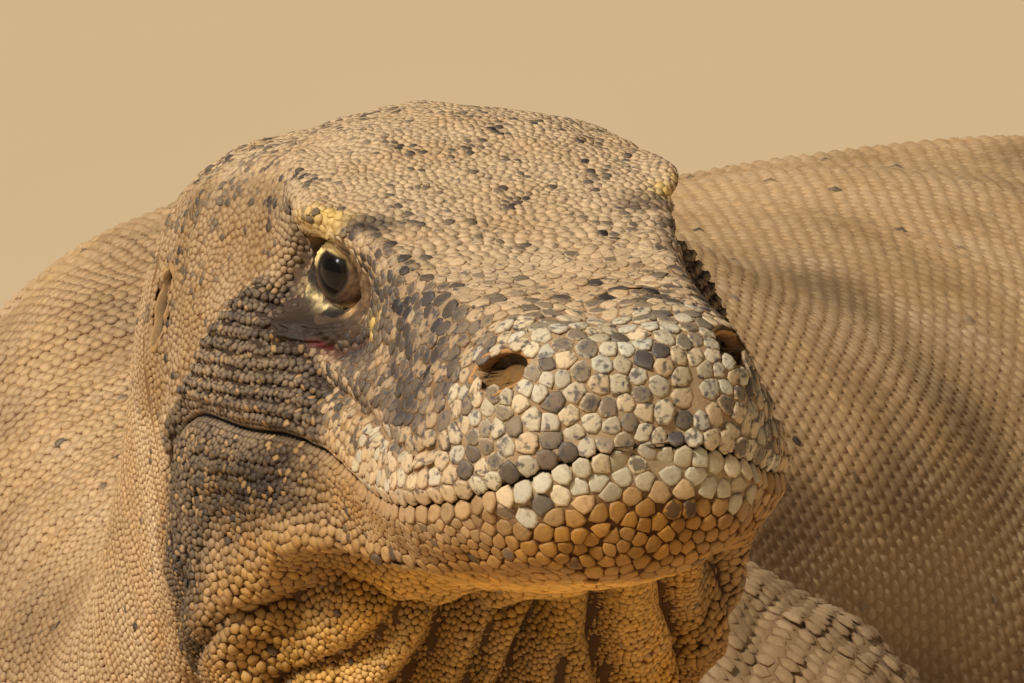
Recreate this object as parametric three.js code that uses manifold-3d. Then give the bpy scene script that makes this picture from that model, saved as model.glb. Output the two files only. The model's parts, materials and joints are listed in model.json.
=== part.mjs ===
// A life-size Komodo dragon at rest: belly down, chest propped on the forelegs, head lifted and turned left.
// Millimetres, +Z up. The trunk runs along Y with the head towards -Y, and the animal's left side is +X.
// Every fleshy part is a loft: rings of control points joined by smooth curves, cut into named lengths.
import * as THREE from 'three';
import { mergeVertices } from 'three/addons/utils/BufferGeometryUtils.js';
import Module from 'manifold-3d';

const wasm = await Module();
wasm.setup();

// ---- Driving dimensions ------------------------------------------------------------------------
const GAP = 0.3; // clearance between neighbouring solids
const HEAD_YAW = 41.3; // degrees the head is turned to the animal's left
const HEAD_PITCH = 6; // degrees the nose is raised
const SNOUT = new THREE.Vector3(284, -349, 372); // snout tip's place, at eye level, from mid-shoulders
const FINGER_WIDTH = 19;
const CLAW_LENGTH = 34;
const CLAW_RISE = 7; // how far a claw's root stands over the toe's tip

const EYE = { x: -112.5, y: 30.9, z: 1.5, radius: 8.5 };
const ORBIT = { y: 44, long: 12, deep: 9, high: 8 };
const NOSTRIL = { x: -16, y: 27, z: -14, long: 6, deep: 6, high: 3.5 };
const EAR = { x: -181, y: 58, z: -9, long: 6.5, high: 9.5, deep: 4.5 };
const DRUM_DEPTH = 1.5;
const RICTUS = -171; // the mouth's corner, behind the snout tip
const MOUTH_TOP = [ // the mouth line's height at each distance behind the snout tip
  [12, -32], [0, -32], [-2, -34], [-8, -38], [-20, -42], [-38, -44.5], [-65, -43], [-90, -37], [-112, -34], [-138, -33], [RICTUS, -31.5],
];

// Places of the ring's control points round the body, from the crown down the left side to the throat.
const AROUND = [0, 1, 2, 3, 3.25, 3.5, 4.5, 5.5];
const HALF_ROUND = AROUND[AROUND.length - 1];

// The head's rings: distance behind the snout tip, how far forward of the crown the throat lies, then
// [half width, height over eye level] along eight lines: crown, brow, cheek, upper lip, mouth, lower lip,
// jaw edge and throat.
const HEAD_RINGS = [
  [0, 0, [0, -32], [0, -32], [0, -32], [0, -32], [0, -32], [0, -32], [0, -32], [0, -32]],
  [-2, 0, [0, -15], [8, -16], [13, -23], [15, -31], [14.5, -34], [14, -37], [9, -48], [0, -50]],
  [-8, 0, [0, -8.5], [14, -10], [23, -20], [26, -34], [25, -38], [25, -41.5], [17, -56], [0, -60]],
  [-20, 0, [0, -5], [20, -6.5], [31, -19], [34.5, -38], [33.5, -42], [33, -46], [22, -58.5], [0, -64]],
  [-38, 0, [0, -2], [24, -4], [36, -19], [43.5, -40], [42.5, -44.5], [42, -48.5], [29, -60.5], [0, -66]],
  [-65, 0, [0, 3], [28, 1.5], [37.5, -17], [45, -38.5], [44, -43], [44, -47], [37, -60.5], [0, -69]],
  [-90, 4, [0, 12], [34, 10.5], [38.5, -12], [46.5, -33], [46, -37], [46.5, -41.5], [43, -59.5], [0, -73]],
  [-112, 12, [0, 21], [41, 17], [40, -9], [50, -30], [49.5, -34], [50.5, -39], [50, -62], [0, -81]],
  [-138, 30, [0, 31], [38, 23.3], [48.5, -1], [56, -28.5], [56, -33], [56, -38.5], [51, -67], [0, -91]],
  [-172, 52, [0, 32], [44, 22.5], [56, 1], [61.5, -25], [62, -31.5], [61.5, -39], [55, -78], [0, -106]],
  [-210, 82, [0, 26], [43, 16], [58, -8], [63, -34], [64, -45], [63.5, -58], [55, -95], [0, -122]],
];

// The body's rings from neck to tail tip: centre, half width, height above the centre, depth below it.
const BODY_RINGS = [
  { at: [143, -192, 268], wide: 63, up: 61, down: 66 }, // upper neck
  { at: [120, -170, 232], wide: 65, up: 62, down: 70 },
  { at: [84, -130, 214], wide: 72, up: 70, down: 74 },
  { at: [50, -76, 207], wide: 83, up: 84, down: 82 }, // neck base
  { at: [20, -14, 200], wide: 98, up: 104, down: 94 },
  { at: [0, 52, 190], wide: 112, up: 120, down: 106 }, // shoulders
  { at: [0, 126, 174], wide: 124, up: 120, down: 116 },
  { at: [0, 214, 155], wide: 143, up: 115, down: 131 },
  { at: [0, 312, 140], wide: 164, up: 120, down: 147 },
  { at: [0, 420, 131], wide: 173, up: 119, down: 142 }, // widest belly
  { at: [0, 530, 122], wide: 163, up: 113, down: 132 },
  { at: [0, 630, 109], wide: 137, up: 104, down: 117 },
  { at: [0, 720, 95], wide: 110, up: 92, down: 98 }, // hips
  { at: [0, 805, 86], wide: 86, up: 82, down: 88 },
  { at: [2, 900, 73], wide: 68, up: 72, down: 75 }, // tail base
  { at: [12, 1010, 62], wide: 56, up: 62, down: 64 },
  { at: [36, 1130, 53], wide: 46, up: 54, down: 55 },
  { at: [78, 1250, 45], wide: 37, up: 46, down: 47 },
  { at: [140, 1370, 38], wide: 29, up: 39, down: 40 },
  { at: [222, 1484, 31], wide: 23, up: 32, down: 33 },
  { at: [325, 1590, 24], wide: 17.5, up: 25, down: 26 },
  { at: [440, 1684, 17.5], wide: 12.5, up: 18, down: 19 },
  { at: [562, 1768, 11.5], wide: 8, up: 12, down: 13 },
  { at: [686, 1840, 6], wide: 4.5, up: 6.5, down: 7 },
  { at: [760, 1876, 2.5], wide: 2, up: 2.8, down: 3 },
  { at: [769, 1880, 2], wide: 0, up: 0, down: 0 },
];
// Ring numbers in the whole body where one named length ends and the next begins.
const LAST_HEAD_RING = HEAD_RINGS.length - 1;
const CUTS = { neck: LAST_HEAD_RING, trunk: LAST_HEAD_RING + 5, tail: LAST_HEAD_RING + 14 };
const TAIL_LENGTHS = [['tail_base', 3], ['tail_middle', 4], ['tail_tip', 4]];

// Limbs on the left side: centre line and the half width and half height of the flesh round it.
const FORELEG = {
  rings: [
    { at: [40, 48, 166], wide: 64, up: 58 },
    { at: [98, 50, 160], wide: 62, up: 56 }, // shoulder
    { at: [156, 66, 134], wide: 52, up: 48 },
    { at: [208, 84, 100], wide: 43, up: 41 }, // elbow
    { at: [236, 50, 66], wide: 38, up: 36 },
    { at: [248, -8, 40], wide: 28, up: 25 }, // wrist
    { at: [250, -40, 24], wide: 23, up: 15 },
    { at: [250, -46, 22], wide: 0, up: 0 },
  ],
  elbow: 3,
  sole: { back: [247, -16], heading: 8, length: 88, wide: 37, high: 19 },
  toes: [
    { out: -26, turn: -48, length: 34 },
    { out: -15, turn: -20, length: 46 },
    { out: 0, turn: 2, length: 50 },
    { out: 14, turn: 24, length: 46 },
    { out: 24, turn: 56, length: 36 },
  ],
};
const HINDLEG = {
  rings: [
    { at: [25, 706, 104], wide: 78, up: 72 },
    { at: [96, 692, 106], wide: 78, up: 73 }, // hip
    { at: [168, 658, 106], wide: 69, up: 64 },
    { at: [232, 630, 92], wide: 50, up: 48 }, // knee
    { at: [266, 684, 68], wide: 43, up: 41 },
    { at: [276, 748, 42], wide: 30, up: 28 }, // ankle
    { at: [279, 772, 28], wide: 24, up: 18 },
    { at: [280, 778, 25], wide: 0, up: 0 },
  ],
  elbow: 3,
  sole: { back: [268, 796], heading: 30, length: 124, wide: 39, high: 23 },
  toes: [
    { out: -27, turn: -42, length: 38 },
    { out: -16, turn: -16, length: 56 },
    { out: -2, turn: 2, length: 68 },
    { out: 12, turn: 20, length: 76 },
    { out: 24, turn: 60, length: 42 },
  ],
};
const STANCE = { left: { side: 1, reach: 0 }, right: { side: -1, reach: -34 } }; // the right feet stand further forward

const SAND = new THREE.MeshStandardMaterial({ name: 'hide', color: 0xb08a58, roughness: 0.85, metalness: 0 });
const HORN = new THREE.MeshStandardMaterial({ name: 'horn', color: 0x3a3029, roughness: 0.4, metalness: 0 });
const GLOSS = new THREE.MeshStandardMaterial({ name: 'eye', color: 0x120d0a, roughness: 0.08, metalness: 0 });
const DRUM = new THREE.MeshStandardMaterial({ name: 'eardrum', color: 0x6b5541, roughness: 0.6, metalness: 0 });

const rad = THREE.MathUtils.degToRad;

// ---- Smooth lofts -------------------------------------------------------------------------------

// Value at t of a smooth curve through points placed at the knots. period closes it into a loop.
function smooth(knots, points, t, period) {
  const n = knots.length;
  const index = (i) => (period ? (i + n) % n : Math.min(Math.max(i, 0), n - 1));
  const knot = (i) => (period ? knots[index(i)] + period * Math.floor(i / n) : knots[index(i)]);
  let k = 0;
  const last = period ? n - 1 : n - 2;
  while (k < last && knot(k + 1) <= t) k += 1;
  const slope = (i) => {
    const before = knot(i) - knot(i - 1);
    const after = knot(i + 1) - knot(i);
    const p = points[index(i)];
    if (!before) return points[index(i + 1)].clone().sub(p).divideScalar(after);
    if (!after) return p.clone().sub(points[index(i - 1)]).divideScalar(before);
    const back = p.clone().sub(points[index(i - 1)]).multiplyScalar(after / before);
    const ahead = points[index(i + 1)].clone().sub(p).multiplyScalar(before / after);
    return back.add(ahead).divideScalar(before + after);
  };
  const h = knot(k + 1) - knot(k);
  const u = (t - knot(k)) / h;
  const u2 = u * u;
  const u3 = u2 * u;
  return points[index(k)].clone().multiplyScalar(2 * u3 - 3 * u2 + 1)
    .add(slope(k).multiplyScalar((u3 - 2 * u2 + u) * h))
    .add(points[index(k + 1)].clone().multiplyScalar(3 * u2 - 2 * u3))
    .add(slope(k + 1).multiplyScalar((u3 - u2) * h));
}

// A surface through rings of control points. along[i] is the distance over the skin from ring 0 to ring i.
class Loft {
  constructor(rings, around, period) {
    Object.assign(this, { rings, around, period, along: [0] });
    for (let i = 1; i < rings.length; i += 1) {
      const steps = rings[i].map((p, j) => p.distanceTo(rings[i - 1][j]));
      this.along.push(this.along[i - 1] + steps.reduce((a, b) => a + b) / steps.length);
    }
  }

  ring(distance, columns) {
    const control = this.around.map((_, j) => smooth(this.along, this.rings.map((r) => r[j]), distance, 0));
    return Array.from({ length: columns }, (_, c) => {
      const p = smooth(this.around, control, (c / columns) * this.period, this.period);
      p.z = Math.max(p.z, 0); // whatever lies on the floor is flat there
      return p;
    });
  }

  // The closed surface from one distance to another, in rows about `step` apart.
  solid(from, to, step, columns) {
    const rows = Math.max(2, Math.round((to - from) / step));
    const rings = Array.from({ length: rows + 1 }, (_, r) => this.ring(from + ((to - from) * r) / rows, columns));
    return closedMesh(rings);
  }
}

// Joins rings of equal length into one closed mesh, with a fan on each end.
function closedMesh(rings) {
  const columns = rings[0].length;
  const middle = (ring) => ring.reduce((a, p) => a.add(p), new THREE.Vector3()).divideScalar(columns);
  const points = [middle(rings[0]), ...rings.flat(), middle(rings[rings.length - 1])];
  const faces = [];
  const at = (r, c) => 1 + r * columns + (c % columns);
  for (let c = 0; c < columns; c += 1) {
    faces.push(0, at(0, c + 1), at(0, c));
    faces.push(points.length - 1, at(rings.length - 1, c), at(rings.length - 1, c + 1));
    for (let r = 0; r < rings.length - 1; r += 1) {
      faces.push(at(r, c), at(r + 1, c + 1), at(r + 1, c), at(r, c), at(r, c + 1), at(r + 1, c + 1));
    }
  }
  return new THREE.BufferGeometry().setFromPoints(points).setIndex(faces);
}

// ---- Joining and cutting ------------------------------------------------------------------------

function toSolid(geometry) {
  const bare = new THREE.BufferGeometry()
    .setAttribute('position', geometry.getAttribute('position').clone())
    .setIndex(geometry.getIndex());
  const merged = mergeVertices(bare, 1e-3);
  const faces = Array.from(merged.index.array);
  const kept = [];
  for (let i = 0; i < faces.length; i += 3) {
    const [a, b, c] = faces.slice(i, i + 3);
    if (a !== b && b !== c && c !== a) kept.push(a, b, c);
  }
  const made = new wasm.Manifold(new wasm.Mesh({
    numProp: 3,
    vertProperties: Float32Array.from(merged.attributes.position.array),
    triVerts: Uint32Array.from(kept),
  }));
  if (made.volume() < 0) throw new Error('a loft is inside out');
  return made;
}

function toGeometry(solid) {
  const mesh = solid.getMesh();
  const points = new Float32Array(mesh.numVert * 3);
  for (let i = 0; i < mesh.numVert; i += 1) {
    points.set(mesh.vertProperties.subarray(i * mesh.numProp, i * mesh.numProp + 3), i * 3);
  }
  const geometry = new THREE.BufferGeometry().setAttribute('position', new THREE.BufferAttribute(points, 3));
  geometry.setIndex(new THREE.BufferAttribute(mesh.triVerts, 1));
  geometry.computeVertexNormals();
  return geometry;
}

// The same solid with every corner pushed out by a distance: it cuts a neighbour back to leave a clearance.
function swollen(solid, by) {
  const geometry = toGeometry(solid);
  const { position, normal } = geometry.attributes;
  for (let i = 0; i < position.array.length; i += 1) position.array[i] += normal.array[i] * by;
  return toSolid(geometry);
}

const union = (solids) => solids.reduce((a, b) => a.add(b));

// The largest closed body of a solid: cutting can leave crumbs, which are dropped.
function mainBody(solid) {
  return solid.decompose().sort((a, b) => b.volume() - a.volume())[0];
}

// ---- Body: head, neck, trunk and tail -----------------------------------------------------------

const headFrame = new THREE.Matrix4();
{
  const forward = new THREE.Vector3(Math.sin(rad(HEAD_YAW)), -Math.cos(rad(HEAD_YAW)), 0);
  const left = new THREE.Vector3(Math.cos(rad(HEAD_YAW)), Math.sin(rad(HEAD_YAW)), 0);
  forward.multiplyScalar(Math.cos(rad(HEAD_PITCH))).setZ(Math.sin(rad(HEAD_PITCH)));
  headFrame.makeBasis(forward, left, forward.clone().cross(left)).setPosition(SNOUT);
}

// A half ring of [half width, height] points, mirrored to the right side.
function mirrored(half, place) {
  const left = half.map(([y, z]) => place(y, z));
  const right = half.slice(1, -1).reverse().map(([y, z]) => place(-y, z));
  return [...left, ...right];
}

const fullRound = [...AROUND, ...AROUND.slice(1, -1).reverse().map((v) => 2 * HALF_ROUND - v)];

function headRings() {
  return HEAD_RINGS.map(([x, lean, ...half]) => {
    const crown = half[0][1];
    const deep = Math.max(1, crown - half[half.length - 1][1]);
    const place = (y, z) => new THREE.Vector3(x + (lean * (crown - z)) / deep, y, z);
    return mirrored(half, (y, z) => place(y, z).applyMatrix4(headFrame));
  });
}

// The direction of a centre line at each of its points.
function directions(centres) {
  return centres.map((_, i) => centres[Math.min(i + 1, centres.length - 1)].clone()
    .sub(centres[Math.max(i - 1, 0)]).normalize());
}

function bodyRings() {
  const lastHead = new THREE.Vector3(-174, 0, -48).applyMatrix4(headFrame);
  const centres = [lastHead, ...BODY_RINGS.map((r) => new THREE.Vector3(...r.at))];
  return directions(centres).slice(1).map((back, i) => {
    const { wide, up, down } = BODY_RINGS[i];
    const left = new THREE.Vector3(0, 0, 1).cross(back).negate().normalize();
    const above = left.clone().cross(back).normalize();
    const half = AROUND.map((v) => {
      const angle = Math.PI * (0.5 - v / HALF_ROUND);
      const high = Math.sin(angle) > 0 ? up : down;
      return [wide * Math.cos(angle), high * Math.sin(angle)];
    });
    return mirrored(half, (y, z) => centres[i + 1].clone().addScaledVector(left, y).addScaledVector(above, z));
  });
}

// Everything below the mouth line, from the snout to the mouth's corner, as a block across the head.
function belowMouth(lift) {
  const outline = new THREE.Shape();
  const line = MOUTH_TOP.map(([x, z]) => new THREE.Vector2(x + lift * Math.sign(x - RICTUS - 1), z + lift));
  outline.setFromPoints([...line, new THREE.Vector2(RICTUS - 24 - lift, -120), new THREE.Vector2(12, -120)]);
  const width = 160;
  const block = new THREE.ExtrudeGeometry(outline, { depth: width, bevelEnabled: false });
  // The outline is drawn in x and z: it is turned up from the x-y plane, and centred on the head.
  block.rotateX(Math.PI / 2).translate(0, width / 2, 0).applyMatrix4(headFrame);
  return toSolid(block);
}

function ellipsoid(centre, half, detail = 8) {
  const ball = new THREE.SphereGeometry(1, detail, Math.round(detail * 0.7));
  return ball.scale(...half).translate(...centre).applyMatrix4(headFrame);
}

const parts = {};
const body = new Loft([...headRings(), ...bodyRings()], fullRound, 2 * HALF_ROUND);
const cut = (number) => body.along[number];

const HEAD_STEP = 11;
const headLoft = toSolid(body.solid(0, cut(CUTS.neck) - GAP / 2, HEAD_STEP, 22));
const hollows = [];
for (const [name, side] of [['left', 1], ['right', -1]]) {
  const ball = (grow) => ellipsoid([EYE.x, side * EYE.y, EYE.z], [1, 1, 1].map((r) => r * (EYE.radius + grow)));
  const drum = (grow) => ellipsoid(
    [EAR.x, side * (EAR.y - EAR.deep), EAR.z],
    [EAR.long + grow, DRUM_DEPTH + grow, EAR.high + grow],
  );
  parts[`eye_${name}`] = [toSolid(ball(0)), GLOSS];
  parts[`ear_${name}`] = [toSolid(drum(0)), DRUM];
  hollows.push(
    toSolid(ball(GAP)),
    toSolid(drum(GAP)),
    toSolid(ellipsoid([EYE.x, side * ORBIT.y, EYE.z], [ORBIT.long, ORBIT.deep, ORBIT.high])),
    toSolid(ellipsoid([NOSTRIL.x, side * NOSTRIL.y, NOSTRIL.z], [NOSTRIL.long, NOSTRIL.deep, NOSTRIL.high], 8)),
    toSolid(ellipsoid([EAR.x, side * EAR.y, EAR.z], [EAR.long + 1, EAR.deep + 3, EAR.high + 1])),
  );
}
parts.head = [mainBody(headLoft.subtract(belowMouth(GAP)).subtract(union(hollows))), SAND];
parts.lower_jaw = [mainBody(headLoft.intersect(belowMouth(0))), SAND];
parts.neck = [toSolid(body.solid(cut(CUTS.neck) + GAP / 2, cut(CUTS.trunk) - GAP / 2, 26, 22)), SAND];
parts.trunk = [toSolid(body.solid(cut(CUTS.trunk) + GAP / 2, cut(CUTS.tail) - GAP / 2, 46, 22)), SAND];
let tailStart = CUTS.tail;
for (const [name, rings] of TAIL_LENGTHS) {
  const end = tailStart + rings;
  const stop = end === body.rings.length - 1 ? cut(end) : cut(end) - GAP / 2;
  parts[name] = [toSolid(body.solid(cut(tailStart) + GAP / 2, stop, 52, 12)), SAND];
  tailStart = end;
}

// ---- Limbs ---------------------------------------------------------------------------------------

const LIMB_SIDES = 10;
const limbRound = Array.from({ length: LIMB_SIDES }, (_, i) => i);

// Elliptic rings square to a centre line, as half widths level with the floor and half heights across them.
function tubeRings(rings) {
  const centres = rings.map((r) => new THREE.Vector3(...r.at));
  return directions(centres).map((ahead, i) => {
    const { wide, up } = rings[i];
    const across = ahead.clone().cross(new THREE.Vector3(0, 0, 1)).normalize();
    const above = across.clone().cross(ahead).normalize();
    return limbRound.map((c) => {
      const angle = (2 * Math.PI * c) / LIMB_SIDES;
      return centres[i].clone()
        .addScaledVector(across, wide * Math.sin(angle))
        .addScaledVector(above, up * Math.cos(angle));
    });
  });
}

function tube(rings) {
  return new Loft(tubeRings(rings), limbRound, LIMB_SIDES);
}

function wholeTube(rings, step, columns) {
  const loft = tube(rings);
  return toSolid(loft.solid(0, loft.along[loft.along.length - 1], step, columns));
}

const heading = (degrees) => [Math.sin(rad(degrees)), -Math.cos(rad(degrees))];

// The flat sole: a low rounded pad from heel to knuckles.
function soleRings({ back, heading: turn, length, wide, high }) {
  const [dx, dy] = heading(turn);
  const shape = [[0, 0, 0.5], [0.03, 0.45, 0.75], [0.2, 0.72, 1], [0.55, 0.95, 0.86], [0.85, 1, 0.62], [0.97, 0.8, 0.45], [1, 0, 0.3]];
  return shape.map(([t, w, h]) => ({
    at: [back[0] + dx * length * t, back[1] + dy * length * t, high * h * 0.8],
    wide: wide * w,
    up: w && high * h,
  }));
}

// One toe: an arched finger that leaves the knuckles, rises over its middle joint and comes down flat.
function toe(sole, { out, turn, length }) {
  const [fx, fy] = heading(sole.heading);
  const [dx, dy] = heading(sole.heading + turn);
  const root = [sole.back[0] + fx * (sole.length - 14) - fy * out, sole.back[1] + fy * (sole.length - 14) + fx * out];
  const half = FINGER_WIDTH / 2;
  const shape = [[-0.2, 0.55, 9], [0, 1, 10], [0.35, 1, 12], [0.7, 0.95, 9], [0.95, 0.8, 6.5], [1.03, 0, 6.5]];
  const place = (t, z) => [root[0] + dx * length * t, root[1] + dy * length * t, z];
  return {
    rings: shape.map(([t, w, z]) => ({ at: place(t, z), wide: half * w, up: half * w * 0.95 })),
    tip: place(1.03, 6.5),
    direction: [dx, dy],
  };
}

// A curved claw that grows from a toe's end: it runs forward, then hooks down to just above the floor.
function claw({ tip, direction: [dx, dy] }) {
  const bend = rad(62);
  const start = rad(8);
  const radius = CLAW_LENGTH / bend;
  const steps = 5;
  return Array.from({ length: steps + 2 }, (_, i) => {
    const t = Math.min(i / steps, 1);
    const angle = start + bend * (i > steps ? 1.02 : t);
    const run = radius * (Math.sin(angle) - Math.sin(start));
    const rise = radius * (Math.cos(angle) - Math.cos(start));
    const thick = i > steps ? 0 : 5.4 * (1 - t) ** 0.8 + 0.35;
    const height = Math.max(tip[2] + CLAW_RISE + rise, thick + 0.2);
    return { at: [tip[0] + dx * (run - 5), tip[1] + dy * (run - 5), height], wide: thick * 0.8, up: thick };
  });
}

function mirrorRings(rings, { side, reach }) {
  return rings.map((r) => ({ ...r, at: [r.at[0] * side, r.at[1] + reach, r.at[2]] }));
}

// The limb root stays in place while the foot reaches forward, so the shift grows from shoulder to foot.
function placedLimb(rings, { side, reach }) {
  const last = rings.length - 1;
  return rings.map((r, i) => ({ ...r, at: [r.at[0] * side, r.at[1] + reach * Math.min(1, i / (last - 2)), r.at[2]] }));
}

const trunkCut = union([parts.neck, parts.trunk, parts.tail_base].map(([solid]) => swollen(solid, GAP)));

function addLimb(limb, names, sideName) {
  const stance = STANCE[sideName];
  const rings = placedLimb(limb.rings, stance);
  const toes = limb.toes.map((t) => toe(limb.sole, t));
  const foot = union([
    wholeTube(mirrorRings(soleRings(limb.sole), stance), 20, 10),
    ...toes.map((t) => wholeTube(mirrorRings(t.rings, stance), 18, 6)),
  ]);
  const loft = tube(rings);
  const joint = loft.along[limb.elbow];
  const end = loft.along[loft.along.length - 1];
  const upper = toSolid(loft.solid(0, joint - GAP / 2, 28, 12)).subtract(trunkCut);
  const grownFoot = swollen(foot, GAP);
  const lower = toSolid(loft.solid(joint + GAP / 2, end, 24, 12)).subtract(grownFoot).subtract(trunkCut);
  parts[`${names[0]}_${sideName}`] = [mainBody(upper), SAND];
  parts[`${names[1]}_${sideName}`] = [mainBody(lower), SAND];
  parts[`${names[2]}_${sideName}`] = [foot, SAND];
  toes.forEach((t, i) => {
    const solid = wholeTube(mirrorRings(claw(t), stance), 12, 5);
    parts[`claw_${names[2]}_${sideName}_${i + 1}`] = [mainBody(solid.subtract(grownFoot)), HORN];
  });
}

for (const sideName of ['left', 'right']) {
  addLimb(FORELEG, ['upper_arm', 'forearm', 'hand'], sideName);
  addLimb(HINDLEG, ['thigh', 'shank', 'foot'], sideName);
}

// ---- The scene graph -----------------------------------------------------------------------------

const dragon = new THREE.Group();
for (const [name, [solid, material]] of Object.entries(parts)) {
  const mesh = new THREE.Mesh(toGeometry(solid), material);
  mesh.name = name;
  dragon.add(mesh);
}
// The origin is the middle of the footprint, on the floor.
const box = new THREE.Box3().setFromObject(dragon);
const centre = box.getCenter(new THREE.Vector3());
dragon.children.forEach((mesh) => mesh.position.set(-centre.x, -centre.y, -box.min.z));

export default dragon;
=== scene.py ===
"""A life-size Komodo dragon at rest: one skin, a coat of scales, eyes, lids, nostrils, ears and claws.

Lengths are millimetres while a surface is worked out and metres in the meshes. Every surface is a function of
two parameters: a distance along the body or limb, and a place round it.
"""

import json
import logging
import math
from dataclasses import dataclass, field, replace
from enum import Enum
from types import SimpleNamespace

import bpy
import numpy as np
from mathutils import Matrix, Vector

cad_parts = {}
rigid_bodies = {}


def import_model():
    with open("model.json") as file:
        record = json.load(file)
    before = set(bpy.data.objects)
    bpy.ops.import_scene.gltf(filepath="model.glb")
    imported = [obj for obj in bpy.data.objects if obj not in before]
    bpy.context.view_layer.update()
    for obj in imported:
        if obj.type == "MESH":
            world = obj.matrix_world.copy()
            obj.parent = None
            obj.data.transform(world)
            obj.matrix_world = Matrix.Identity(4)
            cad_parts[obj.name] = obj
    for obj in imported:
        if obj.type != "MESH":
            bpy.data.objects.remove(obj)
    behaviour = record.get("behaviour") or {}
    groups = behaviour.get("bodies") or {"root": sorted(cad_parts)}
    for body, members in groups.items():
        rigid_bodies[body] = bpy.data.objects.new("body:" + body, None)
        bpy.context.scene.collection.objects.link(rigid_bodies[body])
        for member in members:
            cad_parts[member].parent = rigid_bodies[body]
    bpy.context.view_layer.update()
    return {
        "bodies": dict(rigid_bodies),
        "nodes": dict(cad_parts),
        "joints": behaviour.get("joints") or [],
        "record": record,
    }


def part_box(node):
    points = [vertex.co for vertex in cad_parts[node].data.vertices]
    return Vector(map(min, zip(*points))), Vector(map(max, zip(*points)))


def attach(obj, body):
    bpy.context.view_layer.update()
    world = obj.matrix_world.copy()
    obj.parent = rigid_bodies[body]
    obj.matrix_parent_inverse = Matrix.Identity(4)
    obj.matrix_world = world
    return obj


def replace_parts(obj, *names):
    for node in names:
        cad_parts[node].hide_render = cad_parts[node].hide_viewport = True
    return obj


LOG = logging.getLogger("komodo")
Array = np.ndarray
Material = bpy.types.Material
Socket = bpy.types.NodeSocket
MM = 0.001
ROOT = "root"
PATCH = 0.003  # side of a scale's patch on the bake map


# ---- Numbers shared by the shapes ----

HEAD_YAW = 41.3
HEAD_PITCH = 6.0
SNOUT = (284.0, -349.0, 372.0)
AROUND = np.array([0, 1, 2, 3, 3.25, 3.5, 4.5, 5.5])  # the control points' places round the body
HALF_ROUND = 5.5
MOUTH_PLACE = 3.25
RICTUS = -171.0
UP = np.array([0.0, 0.0, 1.0])
# Each head ring: distance behind the snout, lean of its throat, then (half width, height) along the crown,
# brow, cheek, upper lip, mouth, lower lip, jaw edge and throat.
HEAD_RINGS = (
    (0, 0, (0, -32), (0, -32), (0, -32), (0, -32), (0, -32), (0, -32), (0, -32), (0, -32)),
    (-2, 0, (0, -15), (8, -16), (13, -23), (15, -31), (14.5, -34), (14, -37), (9, -48), (0, -50)),
    (-8, 0, (0, -8.5), (14, -10), (23, -20), (26, -34), (25, -38), (25, -41.5), (17, -56), (0, -60)),
    (-20, 0, (0, -5), (20, -6.5), (31, -19), (34.5, -38), (33.5, -42), (33, -46), (22, -58.5), (0, -64)),
    (-38, 0, (0, -2), (24, -4), (36, -19), (43.5, -40), (42.5, -44.5), (42, -48.5), (29, -60.5), (0, -66)),
    (-65, 0, (0, 3), (28, 1.5), (37.5, -17), (45, -38.5), (44, -43), (44, -47), (37, -60.5), (0, -69)),
    (-90, 4, (0, 12), (34, 10.5), (38.5, -12), (46.5, -33), (46, -37), (46.5, -41.5), (43, -59.5), (0, -73)),
    (-112, 12, (0, 21), (41, 17), (40, -9), (50, -30), (49.5, -34), (50.5, -39), (50, -62), (0, -81)),
    (-138, 30, (0, 31), (38, 23.3), (48.5, -1), (56, -28.5), (56, -33), (56, -38.5), (51, -67), (0, -91)),
    (-172, 52, (0, 32), (44, 22.5), (56, 1), (61.5, -25), (62, -31.5), (61.5, -39), (55, -78), (0, -106)),
    (-210, 82, (0, 26), (43, 16), (58, -8), (63, -34), (64, -45), (63.5, -58), (55, -95), (0, -122)),
)
# Each body ring, from the upper neck to the tail tip: centre, half width, height above it, depth below it.
BODY_RINGS = (
    ((143, -192, 268), 63, 61, 66),
    ((120, -170, 232), 65, 62, 70),
    ((84, -130, 214), 72, 70, 74),
    ((50, -76, 207), 83, 84, 82),
    ((20, -14, 200), 98, 104, 94),
    ((0, 52, 190), 112, 120, 106),
    ((0, 126, 174), 124, 120, 116),
    ((0, 214, 155), 143, 115, 131),
    ((0, 312, 140), 164, 120, 147),
    ((0, 420, 131), 173, 119, 142),
    ((0, 530, 122), 163, 113, 132),
    ((0, 630, 109), 137, 104, 117),
    ((0, 720, 95), 110, 92, 98),
    ((0, 805, 86), 86, 82, 88),
    ((2, 900, 73), 68, 72, 75),
    ((12, 1010, 62), 56, 62, 64),
    ((36, 1130, 53), 46, 54, 55),
    ((78, 1250, 45), 37, 46, 47),
    ((140, 1370, 38), 29, 39, 40),
    ((222, 1484, 31), 23, 32, 33),
    ((325, 1590, 24), 17.5, 25, 26),
    ((440, 1684, 17.5), 12.5, 18, 19),
    ((562, 1768, 11.5), 8, 12, 13),
    ((686, 1840, 6), 4.5, 6.5, 7),
    ((760, 1876, 2.5), 2, 2.8, 3),
    ((769, 1880, 2), 0, 0, 0),
)
# The cheek muscle's upper edge: distances behind the snout, and heights there.
CHEEK_TOP = (
    (88.0, 96.0, 106.0, 114.0, 120.0, 126.0, 131.0, 135.0, 139.0, 144.0, 148.0, 155.0, 170.0),
    (-33.0, -22.0, -17.0, -11.0, -6.0, 0.0, 1.0, -2.5, -7.0, -13.0, -20.0, -28.0, -36.0),
)
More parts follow.
